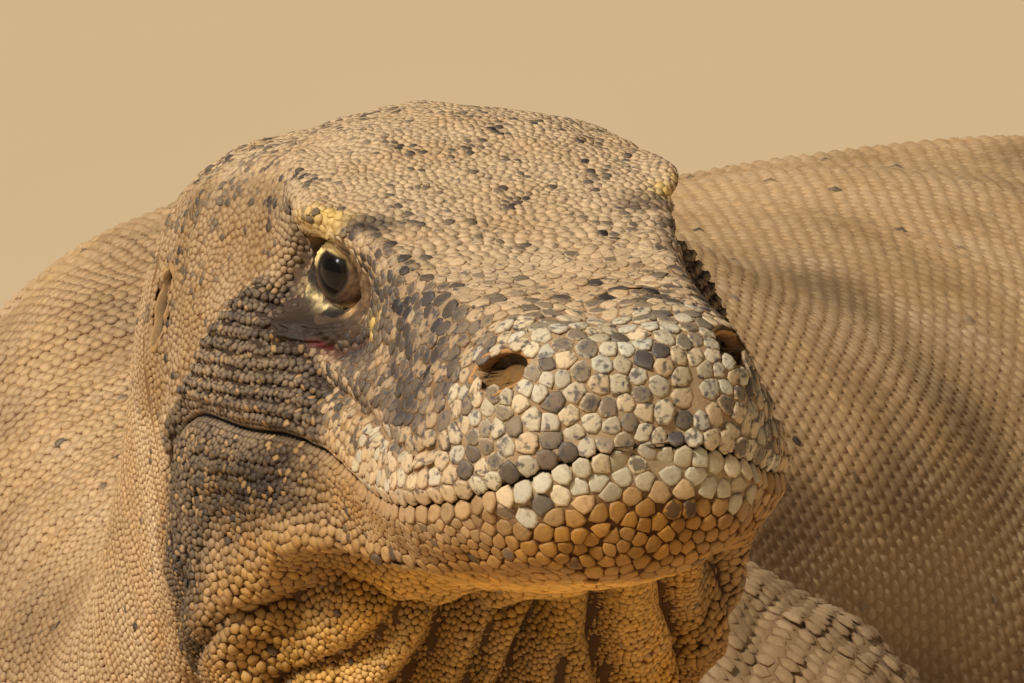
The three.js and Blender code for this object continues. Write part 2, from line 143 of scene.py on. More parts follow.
# Each fold of the throat: place round the body from the midline (positive on the right), its change per
# 100 mm, depth, half width, and where it starts and ends, in millimetres behind the neck's start.
GULAR_FOLDS = (
    (0.32, 0.39, 6.0, 0.050, -112, 60),
    (-0.02, 0.45, 6.5, 0.050, -108, 60),
    (-0.32, -0.05, 6.0, 0.055, -116, 80),
    (-0.62, -0.30, 5.5, 0.060, -104, 110),
    (0.52, 0.60, 2.6, 0.045, -100, 50),
    (0.14, 0.42, 3.0, 0.035, -100, 50),
    (-0.17, 0.20, 3.0, 0.035, -100, 50),
    (-0.95, -0.50, 3.5, 0.080, -90, 90),
    (0.80, 0.90, 2.0, 0.060, -90, 60),
    (1.52, 0.30, 2.6, 0.080, -20, 150),
    (-1.52, -0.30, 2.6, 0.080, -20, 150),
)
LAST_HEAD_CENTRE = (-174.0, 0.0, -48.0)
EYE = (-112.5, 30.9, 1.5)
EYE_RADIUS = 8.5
EAR = (-181.0, 58.0, -9.0)
# Middle and half sizes of the dents of the nostril and the ear.
NOSTRIL_DENT = ((-15.5, 24.5, -15.0), (6.2, 8.0, 4.6))
EAR_DENT = (EAR, (6.5, 14.0, 9.5))
# Lines round the eye, as (x, z) points on the flank: the crease behind it, the pale rim under its rear
# corner, the wet line under its bag, and the chain of dark scales before it.
EYE_CREASE = ((-119.5, 15.0), (-119.5, 9.0), (-124.5, 0.0), (-124.0, -6.0))
EYE_CRESCENT = ((-122.3, -0.7), (-120.0, -3.8), (-115.2, -6.3), (-107.5, -6.6))
EYE_WET_LINE = ((-108.0, -13.6), (-98.0, -15.8), (-86.0, -11.6))
EYE_CHAIN = ((-88.0, 11.5), (-82.0, 9.0), (-77.0, 7.4), (-69.0, 4.4))
# Middle (x, z), half length and half height of the lids' patch, and of its bare part, which no scale covers.
LID_PATCH = (-106.0, -1.6, 18.5, 16.0)
BARE_LID = (-107.5, -1.4, 14.5, 13.6)


def unit(vectors: Array) -> Array:
    """Vectors scaled to length one along the last axis."""
    return vectors / np.maximum(np.linalg.norm(vectors, axis=-1, keepdims=True), 1e-12)


def ramp(value: Array, start: float, end: float) -> Array:
    """Rises smoothly from 0 at start to 1 at end: 3t^2 - 2t^3, with t the share of the way, in 0..1."""
    t = np.clip((value - start) / (end - start), 0.0, 1.0)
    return t * t * (3.0 - 2.0 * t)


def hill(value: Array, centre: float, width: float) -> Array:
    """A bell: e to the power of minus the square of (value - centre) / width."""
    return np.exp(-(((value - centre) / width) ** 2))


def wave(value: Array, length: float) -> Array:
    """A wave of a given length: the cosine of a whole turn for every length."""
    return np.cos(2 * math.pi * value / length)


def reach(place: tuple, middle: tuple, size: tuple) -> Array:
    """The scaled distance from a middle: the root of the sum of the squares of (place - middle) / size."""
    return np.sqrt(sum(((p - m) / s) ** 2 for p, m, s in zip(place, middle, size)))


def spot(x: Array, z: Array, at: tuple, size: tuple) -> Array:
    """A flat-topped oval patch: e to the power of minus the fourth power of the scaled distance."""
    return np.exp(-((((x - at[0]) / size[0]) ** 2 + ((z - at[1]) / size[1]) ** 2) ** 2))


def bare_reach(x: Array, z: Array) -> Array:
    """The squared scaled distance from the middle of the bare skin round the eye: 1 on its edge."""
    middle_x, middle_z, long, high = BARE_LID
    return ((x - middle_x) / long) ** 2 + ((z - middle_z) / high) ** 2


def ripple(points: Array, length: float, seed: int, count: int = 7) -> Array:
    """Smooth noise in -1..1: the mean of cosines of plane waves in seeded random directions and phases.

    Args:
        points: (..., 3) places.
        length: The waves' length.
        seed: Which noise.
        count: How many waves.

    Returns:
        The noise at each place.
    """
    chance = np.random.default_rng(seed)
    waves = unit(chance.normal(size=(count, 3))) * (2 * math.pi / length)
    waves = waves * chance.uniform(0.6, 1.6, (count, 1))
    phases = chance.uniform(0, 2 * math.pi, count)
    return np.cos(points @ waves.T + phases).mean(-1) * 1.6


def stroke(x: Array, z: Array, line: tuple, width: float) -> Array:
    """A bell across a bent line: e to the power of minus the square of the distance over the width.

    Args:
        x: Places' x.
        z: Places' z.
        line: (x, z) points.
        width: Where it falls to 0.37.

    Returns:
        Its height at each place.
    """
    nearest = np.full(np.shape(x), 1e9)
    for (ax, az), (bx, bz) in zip(line[:-1], line[1:]):
        length = (bx - ax) ** 2 + (bz - az) ** 2
        t = np.clip(((x - ax) * (bx - ax) + (z - az) * (bz - az)) / length, 0, 1)
        nearest = np.minimum(nearest, (x - ax - t * (bx - ax)) ** 2 + (z - az - t * (bz - az)) ** 2)
    return np.exp(-nearest / width**2)


def rgb(red: int, green: int, blue: int) -> Array:
    """A colour as linear light, by the 2.2 power of each part of 255."""
    return (np.array([red, green, blue]) / 255.0) ** 2.2


def painted(colour: Array, coats: tuple) -> Array:
    """Lays paints over a colour in turn, each mixed in by its amount, held in 0..1.

    Args:
        colour: (..., 3) linear colours.
        coats: (paint, amount) pairs.

    Returns:
        The colours after the last coat.
    """
    for paint, amount in coats:
        share = np.clip(amount, 0, 1)[..., None]
        colour = colour * (1 - share) + paint * share
    return colour


def smooth_curve(knots: Array, points: Array, places: Array, period: float = 0.0) -> Array:
    """A curve through points: on each span, the cubic with the parabola's slope at both ends.

    Args:
        knots: Rising places of the points.
        points: (knots, ...) values.
        places: Where it is wanted.
        period: The loop's length, or 0.

    Returns:
        The value at each place.
    """
    if period:
        knots = np.concatenate([knots[-2:] - period, knots, knots[:2] + period])
        points = np.concatenate([points[-2:], points, points[:2]])
        places = np.mod(places, period)
    column = (-1,) + (1,) * (points.ndim - 1)
    span = np.diff(knots).reshape(column)
    rise = np.diff(points, axis=0) / span
    inner = (rise[:-1] * span[1:] + rise[1:] * span[:-1]) / (span[:-1] + span[1:])
    slopes = np.concatenate([rise[:1], inner, rise[-1:]])
    k = np.clip(np.searchsorted(knots, places, side="right") - 1, 0, len(knots) - 2)
    h = span[k]
    u = (places - knots[k]).reshape(column) / h
    start = points[k] * (2 * u**3 - 3 * u**2 + 1) + slopes[k] * h * (u**3 - 2 * u**2 + u)
    return start + points[k + 1] * (3 * u**2 - 2 * u**3) + slopes[k + 1] * h * (u**3 - u**2)


class Records:
    """Arrays of equal length, as a dataclass's fields, with ways to pick from them and join them."""

    def pick(self, keep: Array | slice) -> "Records":
        """The same facts for some of the items, by index, mask or slice."""
        return type(self)(*(v.pick(keep) if isinstance(v, Records) else v[keep] for v in vars(self).values()))

    @classmethod
    def join(cls, many: list) -> "Records":
        """Several sets as one."""
        columns = zip(*(vars(one).values() for one in many))
        return cls(*(type(c[0]).join(c) if isinstance(c[0], Records) else np.concatenate(c) for c in columns))


# ---- Surfaces ----


class Sheet:
    """A closed tube of a surface: a grid of points, rows along it and columns round it."""

    def __init__(self, points: Array, along: Array, around: Array) -> None:
        """Keeps the grid and works out its normals.

        Args:
            points: (rows, columns, 3) places.
            along: Each row's distance along.
            around: Each column's place round, in 0..1.
        """
        self.points = points
        self.along = along
        self.around = around
        self.find_normals()

    def find_normals(self) -> None:
        """The normal is the cross product of the step round and the step along, at each point."""
        down = np.gradient(self.points, axis=0)
        around = np.roll(self.points, -1, axis=1) - np.roll(self.points, 1, axis=1)
        normals = np.cross(around, down)
        length = np.linalg.norm(normals, axis=-1, keepdims=True)
        self.normals = unit(np.where(length > 1e-9, normals, normals.mean(axis=1, keepdims=True)))

    def raise_by(self, heights: Array, floor: float = 0.0) -> None:
        """Moves points along their normals and finds the normals again, then lifts what is under the floor.

        Args:
            heights: (rows, columns) distances outward.
            floor: The lowest height.
        """
        self.points = self.points + self.normals * heights[..., None]
        self.find_normals()
        self.points[..., 2] = np.maximum(self.points[..., 2], floor)

    def at(self, rows: Array, columns: Array, grid: Array) -> Array:
        """A grid's values between its points: the bilinear mean of the four round each place.

        Args:
            rows: Fractional rows.
            columns: Fractional columns, which wrap.
            grid: (rows, columns, ...) values.

        Returns:
            The values.
        """
        r = np.clip(np.floor(rows).astype(int), 0, grid.shape[0] - 2)
        c = np.floor(columns).astype(int)
        shape = (-1,) + (1,) * (grid.ndim - 2)
        fr = (rows - r).reshape(shape)
        fc = (columns - c).reshape(shape)
        c0 = c % grid.shape[1]
        c1 = (c + 1) % grid.shape[1]
        top = grid[r, c0] * (1 - fc) + grid[r, c1] * fc
        low = grid[r + 1, c0] * (1 - fc) + grid[r + 1, c1] * fc
        return top * (1 - fr) + low * fr

    def row_at(self, along: Array) -> Array:
        """Fractional rows at given distances along the tube."""
        return np.interp(along, self.along, np.arange(len(self.along)))

    def column_lengths(self) -> Array:
        """The distance round the tube at each row."""
        return np.linalg.norm(np.roll(self.points, -1, axis=1) - self.points, axis=-1).sum(axis=1)


@dataclass
class Spine:
    """A tube's centre line with the ellipse round each point, for telling how deep a place lies in it."""

    centres: Array
    left: Array
    above: Array
    wide: Array
    up: Array
    down: Array

    @classmethod
    def of(cls, centres: Array, wide: Array, up: Array, down: Array, count: int = 90) -> "Spine":
        """Draws a finer centre line through the given sections.

        Args:
            centres: (n, 3) centres.
            wide: Half widths.
            up: Heights over them.
            down: Depths under them.
            count: Sections of the finer line.

        Returns:
            The spine.
        """
        steps = np.concatenate([[0], np.cumsum(np.linalg.norm(np.diff(centres, axis=0), axis=1))])
        where = np.linspace(0, steps[-1], count)
        line = smooth_curve(steps, centres, where)
        ahead = unit(np.gradient(line, axis=0))
        left = unit(np.cross(ahead, UP))
        sizes = smooth_curve(steps, np.stack([wide, up, down], axis=1), where)
        return cls(line, left, unit(np.cross(left, ahead)), *np.maximum(sizes.T, 0.5))

    def depth(self, places: Array) -> Array:
        """How far outside the tube (or inside, if negative) places are, roughly.

        It is the scaled radius less one, times the section's smaller half size, at the nearest section.

        Args:
            places: (n, 3) places.

        Returns:
            The distances.
        """
        out = np.empty(len(places))
        for start in range(0, len(places), 20000):
            p = places[start : start + 20000]
            k = ((p[:, None] - self.centres[None]) ** 2).sum(-1).argmin(axis=1)
            offset = p - self.centres[k]
            y = (offset * self.left[k]).sum(-1)
            z = (offset * self.above[k]).sum(-1)
            ahead = np.linalg.norm(offset - y[:, None] * self.left[k] - z[:, None] * self.above[k], axis=1)
            high = np.where(z > 0, self.up[k], self.down[k])
            r = np.sqrt((y / self.wide[k]) ** 2 + (z / high) ** 2)
            size = np.minimum(self.wide[k], high)
            out[start : start + 20000] = np.maximum((r - 1) * size, ahead - 15.0)
        return out


def headings(centres: Array) -> Array:
    """The direction of a line at each of its points: towards the next from the one before."""
    padded = np.concatenate([centres[:1], centres, centres[-1:]])
    return unit(padded[2:] - padded[:-2])


def ring_distances(rings: Array) -> Array:
    """The mean distance over the surface from the first ring of control points to each ring."""
    return np.concatenate([[0], np.cumsum(np.linalg.norm(np.diff(rings, axis=0), axis=-1).mean(axis=1))])


def loft(rings: Array, knots: Array, period: float, along: Array, columns: int) -> Array:
    """A surface through rings of control points: smooth along each line, then round each ring.

    Args:
        rings: (rings, knots, 3) points.
        knots: Their places round the ring.
        period: A whole round.
        along: Distances of the rows.
        columns: Points round each row.

    Returns:
        (rows, columns, 3) points, none below the floor.
    """
    control = np.swapaxes(smooth_curve(ring_distances(rings), rings, along), 0, 1)
    points = smooth_curve(knots, control, np.arange(columns) / columns * period, period)
    points = np.swapaxes(points, 0, 1).copy()
    points[..., 2] = np.maximum(points[..., 2], 0.0)
    return points


@dataclass
class HeadFrame:
    """The head's own axes: x ahead of the snout tip, y to the animal's left, z up from eye level."""

    origin: Array
    basis: Array

    @classmethod
    def standard(cls) -> "HeadFrame":
        """The frame of the turned, raised head, before the model is moved to its footprint's middle."""
        yaw = math.radians(HEAD_YAW)
        pitch = math.radians(HEAD_PITCH)
        ahead = np.array([math.sin(yaw) * math.cos(pitch), -math.cos(yaw) * math.cos(pitch), math.sin(pitch)])
        left = np.array([math.cos(yaw), math.sin(yaw), 0.0])
        return cls(np.array(SNOUT), np.stack([ahead, left, np.cross(ahead, left)]))

    def out(self, local: Array) -> Array:
        """World places of head places."""
        return self.origin + np.asarray(local, float) @ self.basis

    def into(self, world: Array) -> Array:
        """Head places of world places."""
        return (world - self.origin) @ self.basis.T


# ---- Where things are on the animal ----


@dataclass
class Site(Records):
    """What the paint and the scale sizes need to know about a set of places."""

    head: Array  # place in the head's axes
    world: Array
    side: Array  # place round the body from the crown (0) to the throat or belly (5.5)
    tail: Array  # distance over the body from the neck's start
    limb: Array  # 1 on a limb, 0 on the body
    fold: Array  # 1 at the bottom of a fold

    @property
    def below(self) -> Array:
        """Place round the body under the mouth line; at the snout's tip a height of 17 mm counts as one."""
        x, _, z = self.head.T
        line = np.interp(-x, [0.0, 2.0, 8.0, 20.0], [-32.0, -34.0, -38.0, -42.0])
        tip = ramp(x, -22, -9)
        return (self.side - MOUTH_PLACE) * (1 - tip) + tip * (line - z) / 17.0

    @classmethod
    def on_limb(cls, frame: HeadFrame, world: Array, side: Array) -> "Site":
        """The site of places on a limb, which counts as far behind the neck and has no folds."""
        none = np.zeros(len(world))
        return cls(frame.into(world), world, side, none + 600.0, none + 1.0, none)


def side_of(columns: Array, total: int) -> Array:
    """The place round the body, from 0 on top to 5.5 below, of columns out of a total."""
    place = np.mod(columns / total, 1.0) * 2 * HALF_ROUND
    return np.minimum(place, 2 * HALF_ROUND - place)


def paint(red: int, green: int, blue: int) -> Array:
    """A palette entry with its usual colour."""
    return field(default_factory=lambda: rgb(red, green, blue))


@dataclass(frozen=True)
class Hide:
    """The hide's colours. Each is mixed in where its field of the body says so."""

    dust: Array = paint(202, 172, 134)
    ochre: Array = paint(184, 142, 90)
    slate: Array = paint(66, 60, 60)
    ink: Array = paint(36, 31, 33)
    pale: Array = paint(212, 196, 162)
    ice: Array = paint(204, 204, 188)
    yellow: Array = paint(230, 192, 100)
    umber: Array = paint(84, 68, 56)
    rust: Array = paint(184, 116, 42)
    amber: Array = paint(238, 178, 72)
    wine: Array = paint(96, 34, 32)
    earth: Array = paint(172, 134, 88)
    bark: Array = paint(174, 120, 42)

    def fields(self, site: Site) -> SimpleNamespace:
        """How strongly each part of the body's look holds at each place, in 0..1.

        Args:
            site: Where.

        Returns:
            (n,) shares by name.
        """
        x, y, z = site.head.T
        below = site.below
        on_head = 1 - ramp(-x, 178, 225)
        flank = on_head * (np.abs(y) > 22)
        rough = ripple(site.head, 9.0, 41)
        top = np.interp(-x, *CHEEK_TOP)
        cheek = ramp(-x, 84, 96) * ramp(-x, 176, 166) * ramp(z - top + 1.5 * rough, 1.5, -1.5) * (below < 0)
        jowl = ramp(-x, 80, 110) * ramp(-x, 176, 164) * (below >= 0) * ramp(below + 0.08 * rough, 0.95, 0.6)
        ring = np.sqrt(((x - EYE[0]) / 1.25) ** 2 + (z - EYE[2]) ** 2)
        muzzle = on_head * ramp(site.side, 0.75, 1.25) * (below < 0) * ramp(-x, 10, 40) * ramp(-x, 112, 84)
        lip = on_head * ramp(-x, 24, 40) * ramp(-x, 112, 94) * ramp(below, -0.85, -0.65) * (below < 0)
        # The throat's midline under the chin, for painted shade there.
        mid = ramp(HALF_ROUND - site.side, 0.75, 0.2) * ramp(x, -60, -95)
        return SimpleNamespace(
            head=on_head,
            throat=ramp(below, 0.75, 1.6) * (1 - ramp(site.tail, 60, 300)),
            snout=on_head * ramp(x, -64, -34) * ramp(-below, -0.1, 0.1),
            plates=on_head * ramp(x, -18, -6) * ramp(below, -0.05, 0.1) * ramp(below, 0.75, 0.35),
            chin=on_head * ramp(x, -52, -26) * ramp(below, -0.05, 0.1) * ramp(below, 1.9, 1.2),
            cheek=flank * cheek,
            jowl=flank * jowl,
            muzzle=muzzle * ramp(z - top, -4, 3) * (1 - 0.75 * ramp(z, 1, 8)),
            crown=on_head * ramp(site.side, 1.9, 1.2) * ramp(-x, 28, 60),
            pouch=flank * spot(x, z, (-108, -10.5), (11, 4.5)),
            crease=flank * stroke(x, z, EYE_WET_LINE, 1.4),
            bag_edge=flank * spot(x, z, (-97, -12), (9, 5)),
            brow=flank * spot(x, z, (-105, 13.4), (8.5, 2.6)) * ramp(site.side, 0.75, 0.95),
            ledge=flank * spot(x, z, (-92.5, 13.4), (6.5, 3.0)) * ramp(site.side, 0.55, 0.8),
            chain=flank * stroke(x, z, EYE_CHAIN, 1.5) * ramp(site.side, 0.85, 1.05),
            gold=flank * spot(x, z, (-82.5, -8.2), (4.5, 4.0)),
            # The crease behind the eye, for painted shade there.
            slot=flank * stroke(x, z, EYE_CREASE, 2.6),
            lids=flank * np.clip(1.6 - np.abs(ring - 9.5) / 1.6, 0, 1),
            lip=lip,
            mid=mid * (1 - ramp(site.tail, 60, 200)),
            temple=on_head * ramp(-x, 112, 124) * ramp(site.side, 1.0, 1.3) * ramp(z - top, -1, 4),
            tip=on_head * ramp(x, -34, -14) * ramp(-below, -0.1, 0.1),
            body=ramp(site.tail, 200, 700),
            wide=ramp(site.tail, 30, 200) * (1 - site.limb),
        )

    def base(self, site: Site, part: SimpleNamespace) -> Array:
        """The hide's ground colour at each place, with painted shade on the throat's midline, under the head
        and in the folds.

        Args:
            site: Where.
            part: Shares of the parts there, from fields.

        Returns:
            (n, 3) linear colours.
        """
        x, _, z = site.head.T
        drift = ripple(site.head, 26.0, 3)
        cloud = ripple(site.head, 60.0, 4)
        mottle = ripple(site.head, 7.0, 42)
        below = site.below
        lower = part.head * ramp(below, -0.05, 0.08) * ramp(below, 1.9, 1.3)
        coats = (
            (self.ochre, 0.30 + 0.30 * drift - 0.2 * part.crown + 0.45 * part.temple),
            (self.earth, (1 - part.head) * (0.55 + 0.2 * cloud)),
            (self.amber, part.throat * 0.95 + 0.35 * ramp(below, 0.5, 2.1) * (1 - part.head)),
            (self.umber, part.muzzle * (0.46 + 0.30 * mottle) * (1 - 0.6 * part.lip)),
            (self.pale, part.lip * (0.30 + 0.3 * mottle)),
            (self.bark, part.lip * ramp(-x, 42, 72) * 0.30),
            (self.pale, part.tip * (0.5 + 0.4 * mottle + 0.2 * drift)),
            (self.pale, part.plates * (0.7 + 0.3 * drift)),
            (self.bark, part.chin * ramp(below, 0.42, 0.85) * 0.9),
            (self.bark, lower * (1 - part.plates) * (0.5 + 0.2 * mottle)),
            (self.umber, part.cheek * (0.86 + 0.3 * mottle)),
            (self.umber, part.jowl * (0.80 + 0.3 * mottle)),
            (self.umber, part.pouch * 0.95),
            (self.wine, part.crease * 0.8),
            (self.yellow, part.brow * (0.65 + 0.5 * mottle)),
            (self.umber * 0.8, part.ledge * (0.8 + 0.5 * mottle)),
            (self.yellow * 0.8, part.gold * 0.85),
            (self.ink, np.clip(part.chain * 1.2, 0, 1) * 0.8),
            # Painted shade in the crease behind the eye.
            (self.umber * 0.7, part.slot * 0.92),
            (self.umber, part.lids * ramp(z, 2, -5) * 0.5),
            (self.umber, part.bag_edge * 0.8),
        )
        tone = painted(np.broadcast_to(self.dust, (len(drift), 3)), coats)
        rings = np.clip(ripple(site.world, 170.0, 6) + 0.3 * np.cos(site.tail / 26.0), -1, 1)
        tone = tone * (1 + 0.14 * rings * part.body)[:, None]
        # Umber over the limbs, more on the feet near the floor, and in cloudy patches on the body.
        feet = site.limb * ramp(site.world[:, 2], 110, 10)
        darkening = 0.34 * site.limb + feet * 0.4 + part.wide * np.clip(cloud + 0.1, 0, 1) * 0.45
        tone = painted(tone, ((self.umber, darkening),))
        # Painted shade darkens the throat's midline under the chin, the underside of the head, and the
        # bottoms of folds, where the skin is partly darker too. The cheeks, jowls, temples and crown are
        # darker, and the flanks darker downward.
        shade = 1 - 0.07 * part.crown - 0.32 * part.temple - 0.45 * part.mid
        shade = shade - 0.34 * np.maximum(part.cheek, part.jowl) - 0.24 * lower * (1 - part.plates)
        shade = shade * (1 - 0.22 * ramp(site.side, 1.2, 2.6) * part.wide) * (1 - 0.42 * site.fold)
        return tone * shade[:, None]

    def scales(self, site: Site, chance: Array, other: Array, third: Array) -> tuple:
        """The colours of whole scales: of the middle, and of the rim round it.

        Args:
            site: Where.
            chance: A random number in 0..1 for each.
            other: A second one.
            third: A third one.

        Returns:
            (middle, rim, share of fine dark specks).
        """
        part = self.fields(site)
        x = site.head[:, 0]
        below = site.below
        pleats = np.maximum(part.cheek, part.jowl)
        variety = 0.12 + 0.10 * np.maximum(part.chin, part.throat) - 0.06 * part.body
        tone = self.base(site, part) * (1 + variety * (2 * other - 1))[:, None]
        clump = np.clip(0.5 + 0.8 * ripple(site.head, 17.0, 5), 0, 1)
        patch = ramp(ripple(site.head, 13.0, 7) + 0.5 * ripple(site.head, 5.0, 8), 0.35, 0.75)
        dusty = 1 - 0.7 * hill(x, -62, 20) * ramp(site.side, 0.9, 0.5)
        share = 0.015 + part.crown * (0.02 + 0.55 * patch) * dusty
        share = share + 0.26 * part.snout * (0.5 + clump) * (1 - 0.5 * part.lip)
        share = np.maximum(share, part.muzzle * (0.52 + 0.42 * clump) * (1 - 0.45 * part.lip))
        rear = ramp(-x, 142, 164) * ramp(site.tail, 30, 5) * (below < -0.9)
        warts = ramp(ripple(site.head, 10.0, 9) + 0.5 * ripple(site.head, 4.0, 10), 0.2, 0.6)
        share = share + 0.04 * part.temple + 0.75 * rear * warts + 0.8 * part.chain
        share = share * (1 - 0.5 * part.body) + 0.05 * part.chin
        dark = (chance < share)[:, None]
        full = (third > 0.62 - 0.25 * part.muzzle)[:, None]
        bright = np.maximum(part.tip * 0.40, part.plates * 0.6)
        bright = np.maximum(bright, part.lip * 0.32 * ramp(x, -84, -54))
        light = (chance > 1 - bright)[:, None]
        tan = (third < 0.16 + 0.12 * (below > 0)) & (pleats > 0.4) & ~dark[:, 0]
        speckle = 0.10 + 0.16 * part.crown + 0.5 * part.muzzle + 0.30 * part.snout + 0.25 * part.tip
        speckle = speckle * (1 - np.maximum(part.brow, part.lids)) * (1 - part.throat) * (1 - part.body)
        other, third = other[:, None], third[:, None]
        shade = self.slate * (1 - other) + self.ink * other
        strength = 0.62 + 0.38 * third
        middle = np.where(dark, tone * (1 - strength) + shade * strength, tone * 1.03)
        rim = np.where(dark & full, tone * (1 - 0.8 * strength) + shade * 0.8 * strength, tone * 0.97)
        glint = self.ice * other + self.pale * (1 - other)
        middle = np.where(light, (glint * 0.6 + tone * 0.3) * (0.75 + 0.4 * third), middle)
        rim = np.where(light, tone * 0.65 + glint * 0.25, rim)
        middle = np.where(tan[:, None], self.ochre * (0.35 + 0.5 * other), middle)
        return middle, rim, np.clip(speckle, 0, 1)


def scale_pitch(site: Site) -> Array:
    """The distance between scales: coarse on snout, chin and jaw edge, fine on cheek and neck.

    Args:
        site: Where.

    Returns:
        (n,) pitches in millimetres.
    """
    x, y, z = site.head.T
    below = site.below
    pitch = 1.58 + 0.12 * ramp(site.side, 2.0, 1.3)
    pitch = pitch + ramp(x, -118, -8) * 2.25
    pitch = pitch * (1 - 0.22 * ramp(reach((x, np.abs(y), z), *NOSTRIL_DENT), 2.6, 1.4))
    pitch = pitch + ramp(below, 0.65, 1.05) * ramp(x, -70, -30) * (2.3 - pitch)
    lower = 1.3 * ramp(below, 0.02, 0.12) * ramp(below, 1.0, 0.7) * ramp(-x, 9, 26) * ramp(-x, 100, 60)
    pitch = pitch - lower
    pitch = pitch - 0.22 * ramp(below, 1.2, 1.6) * ramp(-x, 80, 110)
    return pitch + hill(below, 1.15, 0.30) * ramp(x, -165, -140) * 0.7


def scale_relief(site: Site) -> Array:
    """The scales' height over their pitch: low and dusty on the crown, rounder on chin and neck.

    Args:
        site: Where.

    Returns:
        (n,) shares.
    """
    below = site.below
    head = 1 - ramp(-site.head[:, 0], 170, 215)
    crown = ramp(site.side, 2.4, 1.2) * ramp(-site.head[:, 0], 30, 70) * (below < 0)
    under = head * ramp(below, 0.4, 0.9)
    body = 0.10 + 0.02 * ramp(site.tail, 500, 100)
    return np.where(site.limb > 0, 0.11, head * (0.085 - 0.035 * crown + 0.05 * under) + (1 - head) * body)


def skin_depth(site: Site, part: SimpleNamespace) -> Array:
    """How deep the skin lies under the scales' tops: little where dust fills the seams, more in pleats.

    Args:
        site: Where.
        part: Shares of the parts there.

    Returns:
        (n,) depths in millimetres.
    """
    upper = part.head * ramp(site.below, 0.9, 0.4)
    depth = 0.30 - 0.15 * upper - 0.04 * part.crown + 0.25 * np.maximum(part.cheek, part.jowl)
    return np.where(site.limb > 0, 0.4, depth + 0.15 * ramp(site.tail, 20, 420))


# ---- The body: head, neck, trunk and tail as one surface ----


